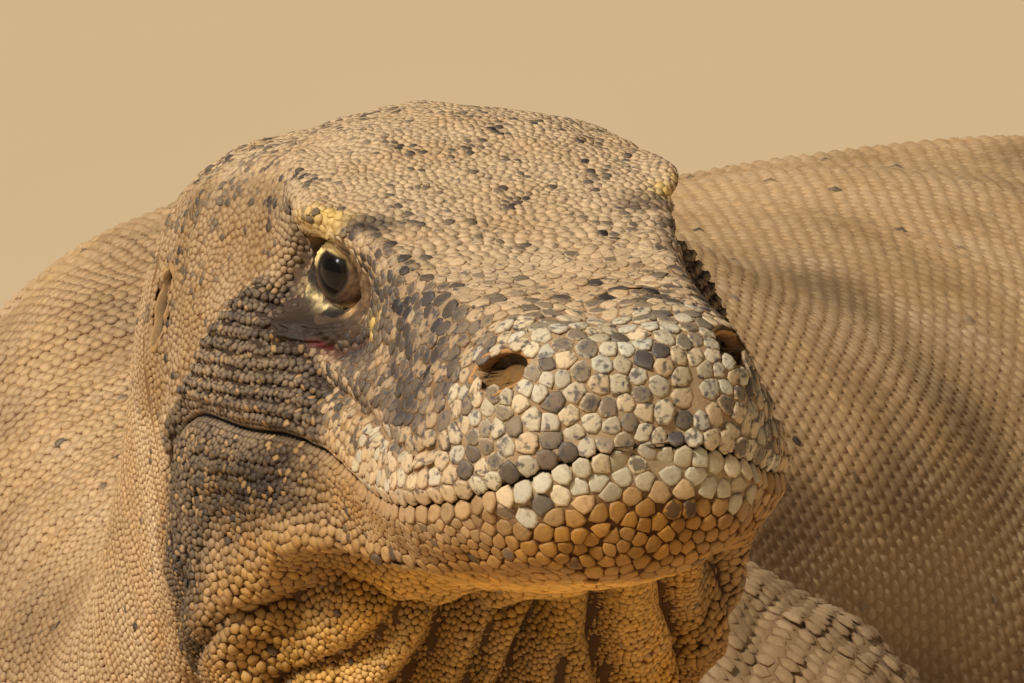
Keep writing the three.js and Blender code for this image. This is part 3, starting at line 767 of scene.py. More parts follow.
class Body:
    """The whole animal without its limbs, as one tube from the snout to the tail's tip."""

    COLUMNS = 448

    def __init__(self, frame: HeadFrame, shift: Array) -> None:
        """Builds the smooth tube, then raises its relief.

        Args:
            frame: The head's axes.
            shift: The move from the plan's axes to the model's.
        """
        self.frame = frame
        self.centres = np.array([ring[0] for ring in BODY_RINGS], float) + shift
        rings = self.control_rings()
        knots = np.concatenate([AROUND, 2 * HALF_ROUND - AROUND[-2:0:-1]])
        self.ring_at = ring_distances(rings)
        self.neck_start = self.ring_at[len(HEAD_RINGS) - 1]
        along = self.row_places()
        points = loft(rings, knots, 2 * HALF_ROUND, along, self.COLUMNS)
        self.sheet = Sheet(points, along, np.arange(self.COLUMNS) / self.COLUMNS)
        self.side = np.broadcast_to(side_of(np.arange(self.COLUMNS), self.COLUMNS), points.shape[:2])
        self.flat_head = frame.into(points)
        sizes = np.array([ring[1:] for ring in BODY_RINGS], float)
        self.spine = Spine.of(self.centres[:-1], *sizes[:-1].T)
        self.fold = np.zeros(points.shape[:2])
        self.sheet.raise_by(self.relief())
        self.full_head = frame.into(self.sheet.points)

    def control_rings(self) -> Array:
        """The control points of every ring, mirrored to the right side.

        Returns:
            (rings, 14, 3) places.
        """
        rings = []
        for x, lean, *half in HEAD_RINGS:
            half = np.array(half, float)
            deep = max(1.0, half[0, 1] - half[-1, 1])
            place = np.stack([x + lean * (half[0, 1] - half[:, 1]) / deep, half[:, 0], half[:, 1]], axis=1)
            rings.append(self.frame.out(np.concatenate([place, place[-2:0:-1] * np.array([1, -1, 1])])))
        behind = headings(np.concatenate([self.frame.out(LAST_HEAD_CENTRE)[None], self.centres]))[1:]
        angle = math.pi * (0.5 - AROUND / HALF_ROUND)
        for centre, ahead, (_, wide, up, down) in zip(self.centres, behind, BODY_RINGS):
            left = -unit(np.cross(UP, ahead))
            above = unit(np.cross(left, ahead))
            y = (wide * np.cos(angle))[:, None] * left
            z = (np.where(np.sin(angle) > 0, up, down) * np.sin(angle))[:, None] * above
            rings.append(np.concatenate([centre + y + z, centre - y[-2:0:-1] + z[-2:0:-1]]))
        return np.array(rings)

    def row_places(self) -> Array:
        """Distances of the surface's rows: close on the head, wider along the neck, trunk and tail.

        Returns:
            (rows,) distances from the snout.
        """
        neck = self.neck_start
        trunk, tail = (self.ring_at[len(HEAD_RINGS) + k] for k in (4, 13))
        spans = ((0.0, neck, 1.05), (neck, trunk, 2.0), (trunk, tail, 6.0), (tail, self.ring_at[-1], 9.0))
        counts = [round((b - a) / step) for a, b, step in spans]
        rows = [np.arange(n) * (b - a) / n + a for n, (a, b, _) in zip(counts, spans)]
        return np.concatenate([*rows, [self.ring_at[-1] - 1e-6]])

    def relief(self) -> Array:
        """Heights over the smooth tube: brow, orbit, nostril, lips, mouth, cheek, jowl, ear and loose skin.

        Returns:
            (rows, columns) heights in millimetres.
        """
        places = self.flat_head
        x, y, z = np.moveaxis(places, -1, 0)
        y = np.abs(y)
        side = self.side
        below = side - MOUTH_PLACE
        on_head = ramp(-x, 215, 180)
        lift = np.zeros_like(x)
        # The orbit is a broad dent, deepest before the eye, under a brow ledge.
        lift -= 6.8 * np.exp(-((((x + 107) / 16.5) ** 2 + ((z - 0.5) / 10.5) ** 2) ** 1.4)) * (y > 20)
        lift -= 1.8 * np.exp(-(((x + 86) / 12) ** 2 + ((z + 3) / 8) ** 2)) * (y > 20)
        lift -= 1.9 * stroke(x, z, EYE_CREASE, 1.8) * (y > 20)
        lift -= 1.3 * spot(x, z, (-104, 12.6), (10, 1.3)) * (y > 20)
        lift += 2.4 * hill(side, 1.04, 0.17) * hill(x, -110, 27)
        lift += 1.1 * hill(side, 1.0, 0.2) * hill(x, -62, 26)
        lift += 0.8 * ripple(places, 11.0, 11) * hill(side, 1.0, 0.35) * hill(x, -112, 24)
        # Nostril bump and hole.
        lift += 2.2 * np.exp(-((reach((x, y, z), NOSTRIL_DENT[0], (1, 1, 1)) / 10) ** 2))
        lift -= 6.0 * ramp(reach((x, y, z), *NOSTRIL_DENT), 1.02, 0.86)
        lift -= 1.2 * hill(x, -20, 14) * ramp(side, 0.45, 0.0)
        # Lips either side of the mouth line, the line itself, and the furrow above the upper lip.
        mouth = on_head * ramp(x, RICTUS - 5, RICTUS + 3)
        lift += 0.9 * mouth * hill(below, -0.18, 0.13) + 0.7 * mouth * hill(below, 0.2, 0.15)
        lift -= 2.2 * mouth * hill(below, 0.0, 0.034)
        furrow = np.interp(x, [-112, -100, -79, -63, -42, -22], [-16.5, -21.3, -25.0, -28.4, -32.6, -31.5])
        upper = (y > 15) * (below < 0)
        lift -= 1.5 * hill(z, furrow, 1.5) * ramp(-x, 14, 34) * ramp(-x, 116, 100) * upper
        lift += 0.9 * hill(z, furrow + 4.5, 3.0) * ramp(-x, 26, 50) * ramp(-x, 116, 96) * upper
        # Cheek muscle with pleats along it, over the mouth's corner.
        cheek = ramp(-x, 82, 104) * ramp(-x, 178, 160) * ramp(z - np.interp(-x, *CHEEK_TOP), 2.0, -4.0)
        cheek = cheek * ramp(below, -0.05, -0.3)
        pleats = wave(z + 0.06 * x + 0.9 * ripple(places, 34, 12), 2.9)
        lift += 2.6 * cheek * ramp(-x, 90, 125) + 0.75 * pleats * cheek
        # The jowl below it, and a deep groove under the jaw's edge.
        jowl = hill(x, -126, 38) * hill(below, 0.42, 0.30) * (y > 15)
        groove = hill(x, -104, 58) * hill(below, 1.36, 0.16) * (y > 10)
        low = wave(below * 25 + 1.6 * ripple(places, 30, 13), 3.3)
        lift += 3.4 * jowl + 0.55 * low * jowl - 4.2 * groove
        self.fold = np.maximum(self.fold, groove)
        lift += 1.6 * hill(x, -80, 60) * hill(below, 1.04, 0.15) * (y > 10)
        # The bag under the eye and the crease beneath it; the hollow temple.
        bag = spot(x, z, (-108.5, -10.0), (12, 5.0))
        lift += (3.4 * bag + 0.3 * bag * wave(z + 0.02 * (x + 112) ** 2, 2.6)) * (y > 22)
        lift -= 1.7 * stroke(x, z, EYE_WET_LINE, 1.6) * (y > 22)
        lift -= 1.5 * np.exp(-(((x + 146) / 15) ** 2 + ((z - 8) / 9) ** 2))
        # Small unevenness over the skull.
        lift += 0.5 * on_head * ripple(places, 13.0, 14) + 0.22 * on_head * ripple(places, 6.0, 15)
        # The ear: a ring of raised skin round a hollow.
        ear = reach((x, y, z), *EAR_DENT)
        lift += 0.5 * np.exp(-(((ear - 1.25) / 0.3) ** 2)) - 4.0 * ramp(ear, 1.1, 0.8)
        return lift + self.body_folds(x)

    def body_folds(self, x: Array) -> Array:
        """Heights of the loose skin: pleats round the neck, deep folds under the jaw and at the shoulder.

        Args:
            x: Distance ahead of the snout in the head's axes.

        Returns:
            (rows, columns) heights in millimetres.
        """
        places = self.sheet.points
        side = self.side
        back = self.sheet.along[:, None]
        tail = back - self.neck_start
        bend = ripple(places, 90.0, 16)
        throat = ramp(side, 4.0, 4.9) * ramp(x, -55, -105) * ramp(tail, 190, 90)
        lift = 0.8 * throat * ripple(places, 22.0, 21)
        place = self.sheet.around * 2 * HALF_ROUND - HALF_ROUND
        swing = 1 + 0.4 * ripple(places, 70.0, 22)
        for middle, slope, depth, width, start, end in GULAR_FOLDS:
            wide = width * swing
            fade = ramp(tail, start, start + 35) * ramp(tail, end, end - 60)
            off = place - (middle + slope * (tail + 60) / 100 + 0.10 * bend)
            lift -= depth * fade * np.exp(-((off / wide) ** 2))
            self.fold = np.maximum(self.fold, fade * np.exp(-((off / wide / 1.3) ** 2)))
            banks = hill(off, -2.1 * width, 1.3 * width) + hill(off, 2.1 * width, 1.3 * width)
            lift += 0.45 * depth * fade * banks
        under = ramp(place, 0.95, 0.70) * ramp(place, -0.15, 0.05)
        shelf = hill(tail, -88.0 + 26.0 * np.abs(place), 5.5) * under
        lift -= 4.5 * shelf
        self.fold = np.maximum(self.fold, shelf)
        wrinkle = wave(back + 3 * ripple(places, 30.0, 23), 3.1)
        lift += 0.28 * wrinkle * ramp(side, 3.9, 4.4) * ramp(x, -88, -108) * ramp(tail, 90, 20)
        neck = ramp(tail, -60, 0) * ramp(tail, 420, 300)
        lift += neck * (0.42 * wave(back + 5 * bend, 7.4) + 1.5 * ripple(places, 46.0, 17))
        shoulder = ramp(tail, 130, 210) * ramp(tail, 420, 330)
        coarse = np.abs(wave(back + 26 * ripple(places, 160.0, 18), 68.0))
        lift += 3.0 * shoulder * (coarse - 0.6) * ramp(side, 0.8, 2.0)
        trunk = ramp(tail, 330, 520) * ramp(tail, 1500, 1050)
        lift += 3.4 * trunk * ripple(places, 120.0, 19)
        return lift + 2.2 * trunk * (hill(side, 3.4, 0.35) - 0.5 * hill(side, 4.0, 0.3))

    def find(self, x: Array, z: Array) -> tuple:
        """Where on the grid the head's left flank lies over places, by Newton's steps.

        Args:
            x: Head x.
            z: Head z.

        Returns:
            (rows, columns), fractional, flat.
        """
        goal = np.stack([np.ravel(x), np.ravel(z)], -1)
        last = int(np.searchsorted(self.sheet.along, self.neck_start)) + 2
        first, final = (round(side / (2 * HALF_ROUND) * self.COLUMNS) for side in (0.45, 3.15))
        known = self.full_head[:last, first:final][..., [0, 2]].reshape(-1, 2)
        start = np.empty(len(goal), int)
        for k in range(0, len(goal), 400):
            start[k : k + 400] = ((known[None] - goal[k : k + 400, None]) ** 2).sum(-1).argmin(1)
        rows, columns = (v.astype(float) for v in np.divmod(start, final - first))
        columns += first

        def at(r: Array, c: Array) -> Array:
            """Head (x, z) at places on the grid."""
            return self.sheet.at(r, c, self.full_head)[:, [0, 2]]

        for _ in range(8):
            rows = np.clip(rows, 0.6, last - 1.0)
            down = at(rows + 0.5, columns) - at(rows - 0.5, columns)
            over = at(rows, columns + 0.5) - at(rows, columns - 0.5)
            lack = goal - at(rows, columns)
            det = down[:, 0] * over[:, 1] - down[:, 1] * over[:, 0]
            det = np.where(np.abs(det) < 1e-3, 1e-3, det)
            rows = rows + np.clip((lack[:, 0] * over[:, 1] - lack[:, 1] * over[:, 0]) / det, -0.8, 0.8)
            columns = columns + np.clip((down[:, 0] * lack[:, 1] - down[:, 1] * lack[:, 0]) / det, -0.8, 0.8)
        return np.clip(rows, 0.0, last), columns

    def flank(self, x: Array, z: Array) -> tuple:
        """How far out the head's left flank is.

        Args:
            x: Head x.
            z: Head z.

        Returns:
            Head y, without the relief and with it.
        """
        place = self.find(x, z)
        grids = (self.flat_head, self.full_head)
        return tuple(self.sheet.at(*place, grid)[:, 1].reshape(np.shape(x)) for grid in grids)

    def site(self, rows: Array, columns: Array) -> Site:
        """What is known of places on the body's grid.

        Args:
            rows: Fractional rows.
            columns: Fractional columns.

        Returns:
            The site.
        """
        sheet = self.sheet
        head = sheet.at(rows, columns, self.flat_head)
        tail = np.interp(rows, np.arange(len(sheet.along)), sheet.along) - self.neck_start
        fold = sheet.at(rows, columns, self.fold[..., None])[:, 0]
        side = side_of(columns, self.COLUMNS)
        return Site(head, sheet.at(rows, columns, sheet.points), side, tail, np.zeros(len(rows)), fold)


# ---- Limbs ----


@dataclass(frozen=True)
class LimbPlan:
    """One limb's sizes on the left: rings as (centre, half width, half height), the sole and the toes."""

    rings: tuple
    sole_back: tuple
    heading: float
    length: float
    wide: float
    high: float
    toes: tuple  # (distance out, turn, length) of each toe


FORELEG = LimbPlan(
    (
        ((40, 48, 166), 64, 58),
        ((98, 50, 160), 62, 56),
        ((156, 66, 134), 52, 48),
        ((208, 84, 100), 43, 41),
        ((236, 50, 66), 38, 36),
        ((248, -8, 40), 28, 25),
        ((250, -40, 24), 23, 15),
        ((250, -46, 22), 0, 0),
    ),
    (247, -16), 8, 88, 37, 19,
    ((-26, -48, 34), (-15, -20, 46), (0, 2, 50), (14, 24, 46), (24, 56, 36)),
)
HINDLEG = LimbPlan(
    (
        ((25, 706, 104), 78, 72),
        ((96, 692, 106), 78, 73),
        ((168, 658, 106), 69, 64),
        ((232, 630, 92), 50, 48),
        ((266, 684, 68), 43, 41),
        ((276, 748, 42), 30, 28),
        ((279, 772, 28), 24, 18),
        ((280, 778, 25), 0, 0),
    ),
    (268, 796), 30, 124, 39, 23,
    ((-27, -42, 38), (-16, -16, 56), (-2, 2, 68), (12, 20, 76), (24, 60, 42)),
)
# Rings of the sole as (share of its length, of its width, of its height), and of a toe as (share of its
# length, of its width, height of its middle).
SOLE = (
    (0, 0, 0.5), (0.03, 0.45, 0.75), (0.2, 0.72, 1), (0.55, 0.95, 0.86),
    (0.85, 1, 0.62), (0.97, 0.8, 0.45), (1, 0, 0.3),
)
TOE = (
    (-0.2, 0.55, 9), (0, 1, 10), (0.2, 0.92, 11), (0.4, 1.05, 12),
    (0.58, 0.88, 10.5), (0.75, 1.0, 8.5), (0.95, 0.8, 6.5), (1.03, 0, 6.5),
)
TOE_WIDE = 9.5
FILLET = 46.0


class Side(Enum):
    """A side of the animal, with how far its feet reach forward of the plan."""

    LEFT = ("left", 1, 0.0)
    RIGHT = ("right", -1, -34.0)


class Tube:
    """A rounded tube along a bent line, such as a leg, a sole, a toe or a claw."""

    KNOTS = 10

    def __init__(self, rings: list, step: float, columns: int) -> None:
        """Builds the tube: ellipses square to the line, joined smoothly.

        Args:
            rings: (centre, half width, half height) along it.
            step: Distance between rows.
            columns: Points round each row.
        """
        centres, wide, high = (np.array(values, float) for values in zip(*rings))
        ahead = headings(centres)
        across = unit(np.cross(ahead, UP))
        above = unit(np.cross(across, ahead))
        angle = 2 * math.pi * np.arange(self.KNOTS) / self.KNOTS
        over = across[:, None] * (wide[:, None] * np.sin(angle))[..., None]
        control = centres[:, None] + over + above[:, None] * (high[:, None] * np.cos(angle))[..., None]
        length = ring_distances(control)[-1]
        along = np.linspace(0, length - 1e-6, max(4, round(length / step)) + 1)
        points = loft(control, np.arange(self.KNOTS, dtype=float), float(self.KNOTS), along, columns)
        self.sheet = Sheet(points, along, np.arange(columns) / columns)
        solid = wide > 0.5
        self.spine = Spine.of(centres[solid], wide[solid], high[solid], high[solid], 50)


class Limb:
    """A leg with its foot: the leg, the sole and five toes as tubes, and the claws."""

    def __init__(self, plan: LimbPlan, side: Side, shift: Array, body: Body, kind: str) -> None:
        """Builds the limb's tubes in place and blends the leg into the trunk.

        Args:
            plan: The limb's sizes.
            side: Which side it is on.
            shift: The plan's move.
            body: What it grows from.
            kind: "hand" or "foot".
        """
        self.name = f"{kind}_{side.value[0]}"
        _, self.sign, self.forward = side.value
        self.shift = shift
        self.plan = plan
        last = len(plan.rings) - 3
        leg = [self.placed(*ring, min(1.0, i / last)) for i, ring in enumerate(plan.rings)]
        self.leg = Tube(leg, 4.0, 96)
        self.shape_leg(body)
        toes = [self.toe_line(toe) for toe in plan.toes]
        fleshy = [Tube(self.toe_rings(*toe), 2.0, 28) for toe in toes]
        self.tubes = [self.leg, Tube(self.sole_rings(), 2.5, 48), *fleshy]
        self.claws = [Tube(self.claw_rings(*toe), 1.6, 14) for toe in toes]

    def placed(self, at: tuple, wide: float, high: float, share: float = 1.0) -> tuple:
        """A ring of the plan in its place on this side, taking a share of the foot's reach forward."""
        x, y, z = at
        return (np.array([x * self.sign, y + self.forward * share, z]) + self.shift, wide, high)

    @staticmethod
    def direction(degrees: float) -> Array:
        """The level direction at an angle from straight ahead, turned outward."""
        return np.array([math.sin(math.radians(degrees)), -math.cos(math.radians(degrees))])

    def toe_line(self, toe: tuple) -> tuple:
        """A toe's place on the floor plane.

        Args:
            toe: (distance out, turn, length).

        Returns:
            (root, direction, length).
        """
        out, turn, length = toe
        fx, fy = self.direction(self.plan.heading)
        root = np.array(self.plan.sole_back) + np.array([fx, fy]) * (self.plan.length - 14)
        return root + np.array([-fy, fx]) * out, self.direction(self.plan.heading + turn), length

    def sole_rings(self) -> list:
        """The sole: a low pad whose width and height follow set shares of its length.

        Returns:
            The pad's rings.
        """
        plan = self.plan
        ahead = self.direction(plan.heading)
        rings = []
        for t, wide, high in SOLE:
            x, y = np.array(plan.sole_back) + ahead * plan.length * t
            up = plan.high * high
            rings.append(self.placed((x, y, up * 0.8), plan.wide * wide, up if wide else 0))
        return rings

    def toe_rings(self, root: Array, ahead: Array, length: float) -> list:
        """A toe: it leaves the knuckles, arches over its middle joints and comes down flat."""
        places = [((*(root + ahead * length * t), z), TOE_WIDE * wide) for t, wide, z in TOE]
        return [self.placed(at, half, half * 0.95) for at, half in places]

    def claw_rings(self, root: Array, ahead: Array, length: float) -> list:
        """A claw: a 62 degree arc from the toe's tip, as thin as the 0.8th power of what is left.

        Args:
            root: Where its toe starts.
            ahead: The toe's direction.
            length: The toe's length.

        Returns:
            The claw's rings.
        """
        bend = math.radians(62)
        start = math.radians(8)
        radius = 34.0 / bend
        rings = []
        for t in (0, 0.1, 0.25, 0.45, 0.65, 0.85, 1.0, 1.02):
            angle = start + bend * t
            run = radius * (math.sin(angle) - math.sin(start)) - 5
            rise = radius * (math.cos(angle) - math.cos(start))
            thick = 5.4 * (1 - t) ** 0.8 + 0.35 if t <= 1 else 0
            x, y = root + ahead * length * 1.03 + ahead * run
            rings.append(self.placed((x, y, max(13.5 + rise, thick + 0.2)), thick * 0.8, thick))
        return rings

    def shape_leg(self, body: Body) -> None:
        """Gives the leg folds and muscles, and swells its root near the trunk by k h (1 - h).

        Here h is 0.5 + gap / 2k held in 0..1, and k the fillet's width.

        Args:
            body: What it grows from.
        """
        sheet = self.leg.sheet
        places = sheet.points
        folds = wave(sheet.along[:, None] + 9 * ripple(places, 60.0, 31), 17.0)
        fade = ramp(sheet.along, 20, 70) * ramp(sheet.along[-1] - sheet.along, 4, 30)
        sheet.raise_by(fade[:, None] * (0.9 * folds + 2.2 * ripple(places, 70.0, 32)))
        gap = body.spine.depth(sheet.points.reshape(-1, 3)).reshape(places.shape[:2])
        h = np.clip(0.5 + gap / (2 * FILLET), 0.0, 1.0)
        sheet.raise_by(FILLET * h * (1 - h) * 0.8)


# ---- Seeds: where the scales sit ----


@dataclass
class Seeds(Records):
    """The scales' places: points on a surface with its normal, its direction along, and the scale's size."""

    points: Array
    normals: Array
    along: Array
    pitch: Array
    relief: Array  # the scale's height as a share of its pitch
    sunk: Array  # how deep the skin lies under it
    site: Site
    uv: Array


def ring_rows(sheet: Sheet, first: float, last: float, pitch: tuple, wander: float, seed: int) -> tuple:
    """Scales in rings round a tube: 0.9 pitches apart, evenly filled, every other ring half a scale on.

    Args:
        sheet: The surface.
        first: Distance of the first ring.
        last: Distance of the last.
        pitch: The pitches there.
        wander: Random moves, in pitches.
        seed: Which random numbers.

    Returns:
        (rows, columns, pitches).
    """
    chance = np.random.default_rng(seed)
    start, end = pitch
    count = max(2, int(round((last - first) / (0.9 * 0.5 * (start + end)))))
    t = (np.arange(count) + 0.5) / count
    at = first + (last - first) * (t * (2 * start + (end - start) * t) / (start + end))
    size = start + (end - start) * (at - first) / (last - first)
    row = sheet.row_at(at)
    girth = np.interp(at, sheet.along, sheet.column_lengths())
    number = np.maximum(5, np.round(girth / size)).astype(int)
    ring = np.repeat(np.arange(count), number)
    first_of = np.repeat(np.cumsum(number) - number, number)
    place = (np.arange(number.sum()) - first_of + 0.5 * (ring % 2)) / number[ring]
    columns = share_to_column(sheet, row[ring], place)
    jump = chance.uniform(-wander, wander, (2, len(ring)))
    per_row = np.interp(at, 0.5 * (sheet.along[1:] + sheet.along[:-1]), np.diff(sheet.along))
    rows = row[ring] + jump[0] * size[ring] / per_row[ring]
    columns = columns + jump[1] / number[ring] * sheet.points.shape[1]
    return np.clip(rows, 0, len(sheet.along) - 1.01), columns, size[ring]


def share_to_column(sheet: Sheet, rows: Array, shares: Array) -> Array:
    """Columns at shares of the way round, by the lengths round the nearest row of the grid.

    Args:
        sheet: The surface.
        rows: Fractional rows.
        shares: Shares of the girth, which may pass 1.

    Returns:
        Fractional columns.
    """
    steps = np.linalg.norm(np.roll(sheet.points, -1, axis=1) - sheet.points, axis=-1)
    total = np.concatenate([np.zeros((len(steps), 1)), np.cumsum(steps, axis=1)], axis=1)
    total = total / np.maximum(total[:, -1:], 1e-9)
    r = np.clip(np.round(rows).astype(int), 0, len(steps) - 1)
    flat = total[:, :-1] + np.arange(len(steps))[:, None]
    k = np.searchsorted(flat.ravel(), np.mod(shares, 1.0) + r, side="right") - 1
    column = np.clip(k, r * steps.shape[1], (r + 1) * steps.shape[1] - 1) - r * steps.shape[1]
    span = total[r, column + 1] - total[r, column]
    return column + (np.mod(shares, 1.0) - total[r, column]) / np.maximum(span, 1e-9)


def neighbours(points: Array, side: float, count: int) -> tuple:
    """Each point's nearest others, found in the same and next boxes of a grid.

    Args:
        points: (n, 3) places.
        side: The boxes' side.
        count: How many to keep.

    Returns:
        (indices, squared distances), each (n, count); a missing one is the point itself at 1e9.
    """
    cell = np.floor((points - points.min(0)) / side).astype(np.int64) + 1
    size = cell.max(0) + 2
    key = (cell[:, 0] * size[1] + cell[:, 1]) * size[2] + cell[:, 2]
    order = np.argsort(key, kind="stable")
    ordered = key[order]
    n = len(points)
    found = np.repeat(np.arange(n)[:, None], count, axis=1)
    distance = np.full((n, count), 1e9)
    near = (-1, 0, 1)
    for offset in [(a * size[1] + b) * size[2] + c for a in near for b in near for c in near]:
        low = np.searchsorted(ordered, key + offset, side="left")
        high = np.searchsorted(ordered, key + offset, side="right")
        active = np.nonzero(high > low)[0]
        step = 0
        while len(active):
            other = order[low[active] + step]
            gap = ((points[other] - points[active]) ** 2).sum(1)
            worst = distance[active].argmax(1)
            better = (gap < distance[active, worst]) & (other != active)
            distance[active[better], worst[better]] = gap[better]
            found[active[better], worst[better]] = other[better]
            step += 1
            active = active[low[active] + step < high[active]]
    return found, distance


def spread(points: Array, pitch: Array, side: float) -> Array:
    """Keeps candidates at least 0.82 pitches apart, taking them in the order given.

    Args:
        points: (n, 3) candidates.
        pitch: The pitch wanted at each.
        side: Box side for finding neighbours.

    Returns:
        Mask of those kept.
    """
    found, gap = neighbours(points, side, 18)
    near = gap < (0.82 * 0.5 * (pitch[:, None] + pitch[found])) ** 2
    order = np.arange(len(points))
    state = np.zeros(len(points), int)  # 0 waiting, 1 kept, 2 dropped
    while (state == 0).any():
        waiting = near & (state[found] == 0) & (found < order[:, None])
        first = (state == 0) & ~waiting.any(axis=1)
        state[first] = 1
        close = near & (state[found] == 1)
        state[(state == 0) & close.any(axis=1)] = 2
        back = found[first][near[first]]
        state[back[state[back] == 0]] = 2
    return state == 1


def relax(sheet: Sheet, rows: Array, columns: Array, pitch: Array, hold: Array, side: float) -> tuple:
    """Moves places off neighbours nearer than 1.1 pitches, by a third of what is lacking.

    Args:
        sheet: The surface.
        rows: Fractional rows.
        columns: Fractional columns.
        pitch: The pitches.
        hold: Which stay.
        side: Box side for finding neighbours.

    Returns:
        (rows, columns) moved.
    """
    grid = sheet.points
    points = sheet.at(rows, columns, grid)
    found, gap = neighbours(points, side, 9)
    away = points[:, None] - points[found]
    length = np.sqrt(gap)[..., None]
    want = 1.1 * 0.5 * (pitch[:, None] + pitch[found])
    push = (away / length * np.clip(want[..., None] - length, 0, None)).sum(1) / 3.0
    lower = sheet.at(np.minimum(rows + 0.5, len(sheet.along) - 1.001), columns, grid)
    down = lower - sheet.at(np.maximum(rows - 0.5, 0), columns, grid)
    over = sheet.at(rows, columns + 0.5, grid) - sheet.at(rows, columns - 0.5, grid)
    a, b, c = (down * down).sum(1), (down * over).sum(1), (over * over).sum(1)
    p, q = (push * down).sum(1), (push * over).sum(1)
    det = np.maximum(a * c - b * b, 1e-6)
    move = np.clip(np.stack([p * c - q * b, q * a - p * b]) / det, -1.0, 1.0) * ~hold
    return np.clip(rows + move[0], 0.5, len(sheet.along) - 1.01), columns + move[1]


class Scatter:
    """Finds the place of every scale on the body and the limbs."""

    def __init__(self, body: Body, hide: Hide) -> None:
        """Keeps the body and its hide."""
        self.body = body
        self.hide = hide

    def seeds(self, sheet: Sheet, places: tuple, site: Site, left: float = 0.0, width: float = 1.0) -> Seeds:
        """Makes seeds at places of a surface.

        Args:
            sheet: The surface.
            places: (rows, columns, pitches).
            site: Their sites.
            left: Start of its strip on the bake map.
            width: The strip's width.

        Returns:
            The seeds.
        """
        rows, columns, pitch = places
        points = sheet.at(rows, columns, sheet.points)
        normals = unit(sheet.at(rows, columns, sheet.normals))
        further = sheet.at(np.minimum(rows + 0.6, len(sheet.along) - 1.001), columns, sheet.points)
        along = further - sheet.at(np.maximum(rows - 0.6, 0), columns, sheet.points)
        along = unit(along - (along * normals).sum(-1, keepdims=True) * normals)
        u = left + width * (0.02 + 0.96 * np.mod(columns / sheet.points.shape[1], 1.0))
        v = 0.01 + 0.98 * np.interp(rows, np.arange(len(sheet.along)), sheet.along) / sheet.along[-1]
        sunk = skin_depth(site, self.hide.fields(site))
        return Seeds(points, normals, along, pitch, scale_relief(site), sunk, site, np.stack([u, v], axis=1))

    def labials(self) -> tuple:
        """A row of scales along each lip, half a scale from the mouth line, as coarse as their place.

        Returns:
            (rows, columns, pitches).
        """
        sheet = self.body.sheet
        columns = self.body.COLUMNS
        lip = MOUTH_PLACE / (2 * HALF_ROUND) * columns
        along = sheet.along[(sheet.along > 3.0) & (self.body.flat_head[:, int(lip), 0] > RICTUS + 3)]
        rows = sheet.row_at(along)
        space = 1.13 * scale_pitch(self.body.site(rows, np.full(len(rows), lip)))
        count = np.concatenate([[0], np.cumsum(np.diff(along) / (0.5 * (space[1:] + space[:-1])))])
        out = []
        for sign, start in ((-1, 0.3), (1, 0.8)):
            at = np.interp(np.arange(start, count[-1]), count, along)
            row = sheet.row_at(at)
            size = np.interp(at, along, space)
            over = sheet.at(row, np.full(len(row), lip + 3), sheet.points)
            width = np.linalg.norm(over - sheet.at(row, np.full(len(row), lip - 3), sheet.points), axis=1)
            column = lip + sign * 0.52 * size / width * 6
            out += [(row, column, size / 1.13), (row, columns - column, size / 1.13)]
        return tuple(np.concatenate(parts) for parts in zip(*out))

    def head(self) -> Seeds:
        """The head's scales: random places kept a pitch apart and evened out, with rows on the lips.

        Returns:
            The seeds.
        """
        body = self.body
        sheet = body.sheet
        chance = np.random.default_rng(101)
        last = int(np.searchsorted(sheet.along, body.neck_start))
        step = sheet.points[1 : last + 1, :] - sheet.points[:last, :]
        over = np.roll(sheet.points, -1, axis=1)[:last] - sheet.points[:last]
        area = np.linalg.norm(np.cross(step, over), axis=-1)
        grid_rows, grid_columns = (v.ravel() for v in np.mgrid[0:last, 0 : body.COLUMNS])
        weight = area.ravel() / scale_pitch(body.site(grid_rows + 0.5, grid_columns + 0.5)) ** 2
        number = int(weight.sum() * 5.0)
        cell = chance.choice(len(weight), number, p=weight / weight.sum())
        rows = grid_rows[cell] + chance.random(number)
        columns = grid_columns[cell] + chance.random(number)
        lips = self.labials()
        rows = np.concatenate([lips[0], rows])
        columns = np.concatenate([lips[1], columns])
        site = body.site(rows, columns)
        pitch = np.concatenate([lips[2], scale_pitch(site)[len(lips[2]) :]])
        fixed = np.arange(len(rows)) < len(lips[0])
        keep = fixed | self.allowed(site, 0.06)
        rows, columns, pitch, fixed = (v[keep] for v in (rows, columns, pitch, fixed))
        keep = spread(sheet.at(rows, columns, sheet.points), pitch, 4.6) | fixed
        rows, columns, pitch, fixed = (v[keep] for v in (rows, columns, pitch, fixed))
        for _ in range(4):
            rows, columns = relax(sheet, rows, columns, pitch, fixed, 4.8)
        rows = np.minimum(rows, last - 0.3)
        site = body.site(rows, columns)
        keep = fixed | self.allowed(site, 0.045)
        return self.seeds(sheet, (rows[keep], columns[keep], pitch[keep]), site.pick(keep))

    def allowed(self, site: Site, crease: float) -> Array:
        """Where scales may sit: not in the mouth's crease, the lids' skin, a nostril or an ear.

        Args:
            site: Where.
            crease: Half width of the crease, round the body.

        Returns:
            Mask.
        """
        x, y, z = site.head.T
        y = np.abs(y)
        mouth = (np.abs(site.side - MOUTH_PLACE) < crease) & (x > RICTUS)
        true_x, _, true_z = self.body.frame.into(site.world).T
        eye = (bare_reach(true_x, true_z) < 1.0) & (y > 22)
        nostril = reach((x, y, z), *NOSTRIL_DENT) < 1.12
        return ~(mouth | eye | nostril | (reach((x, y, z), *EAR_DENT) < 1.1))

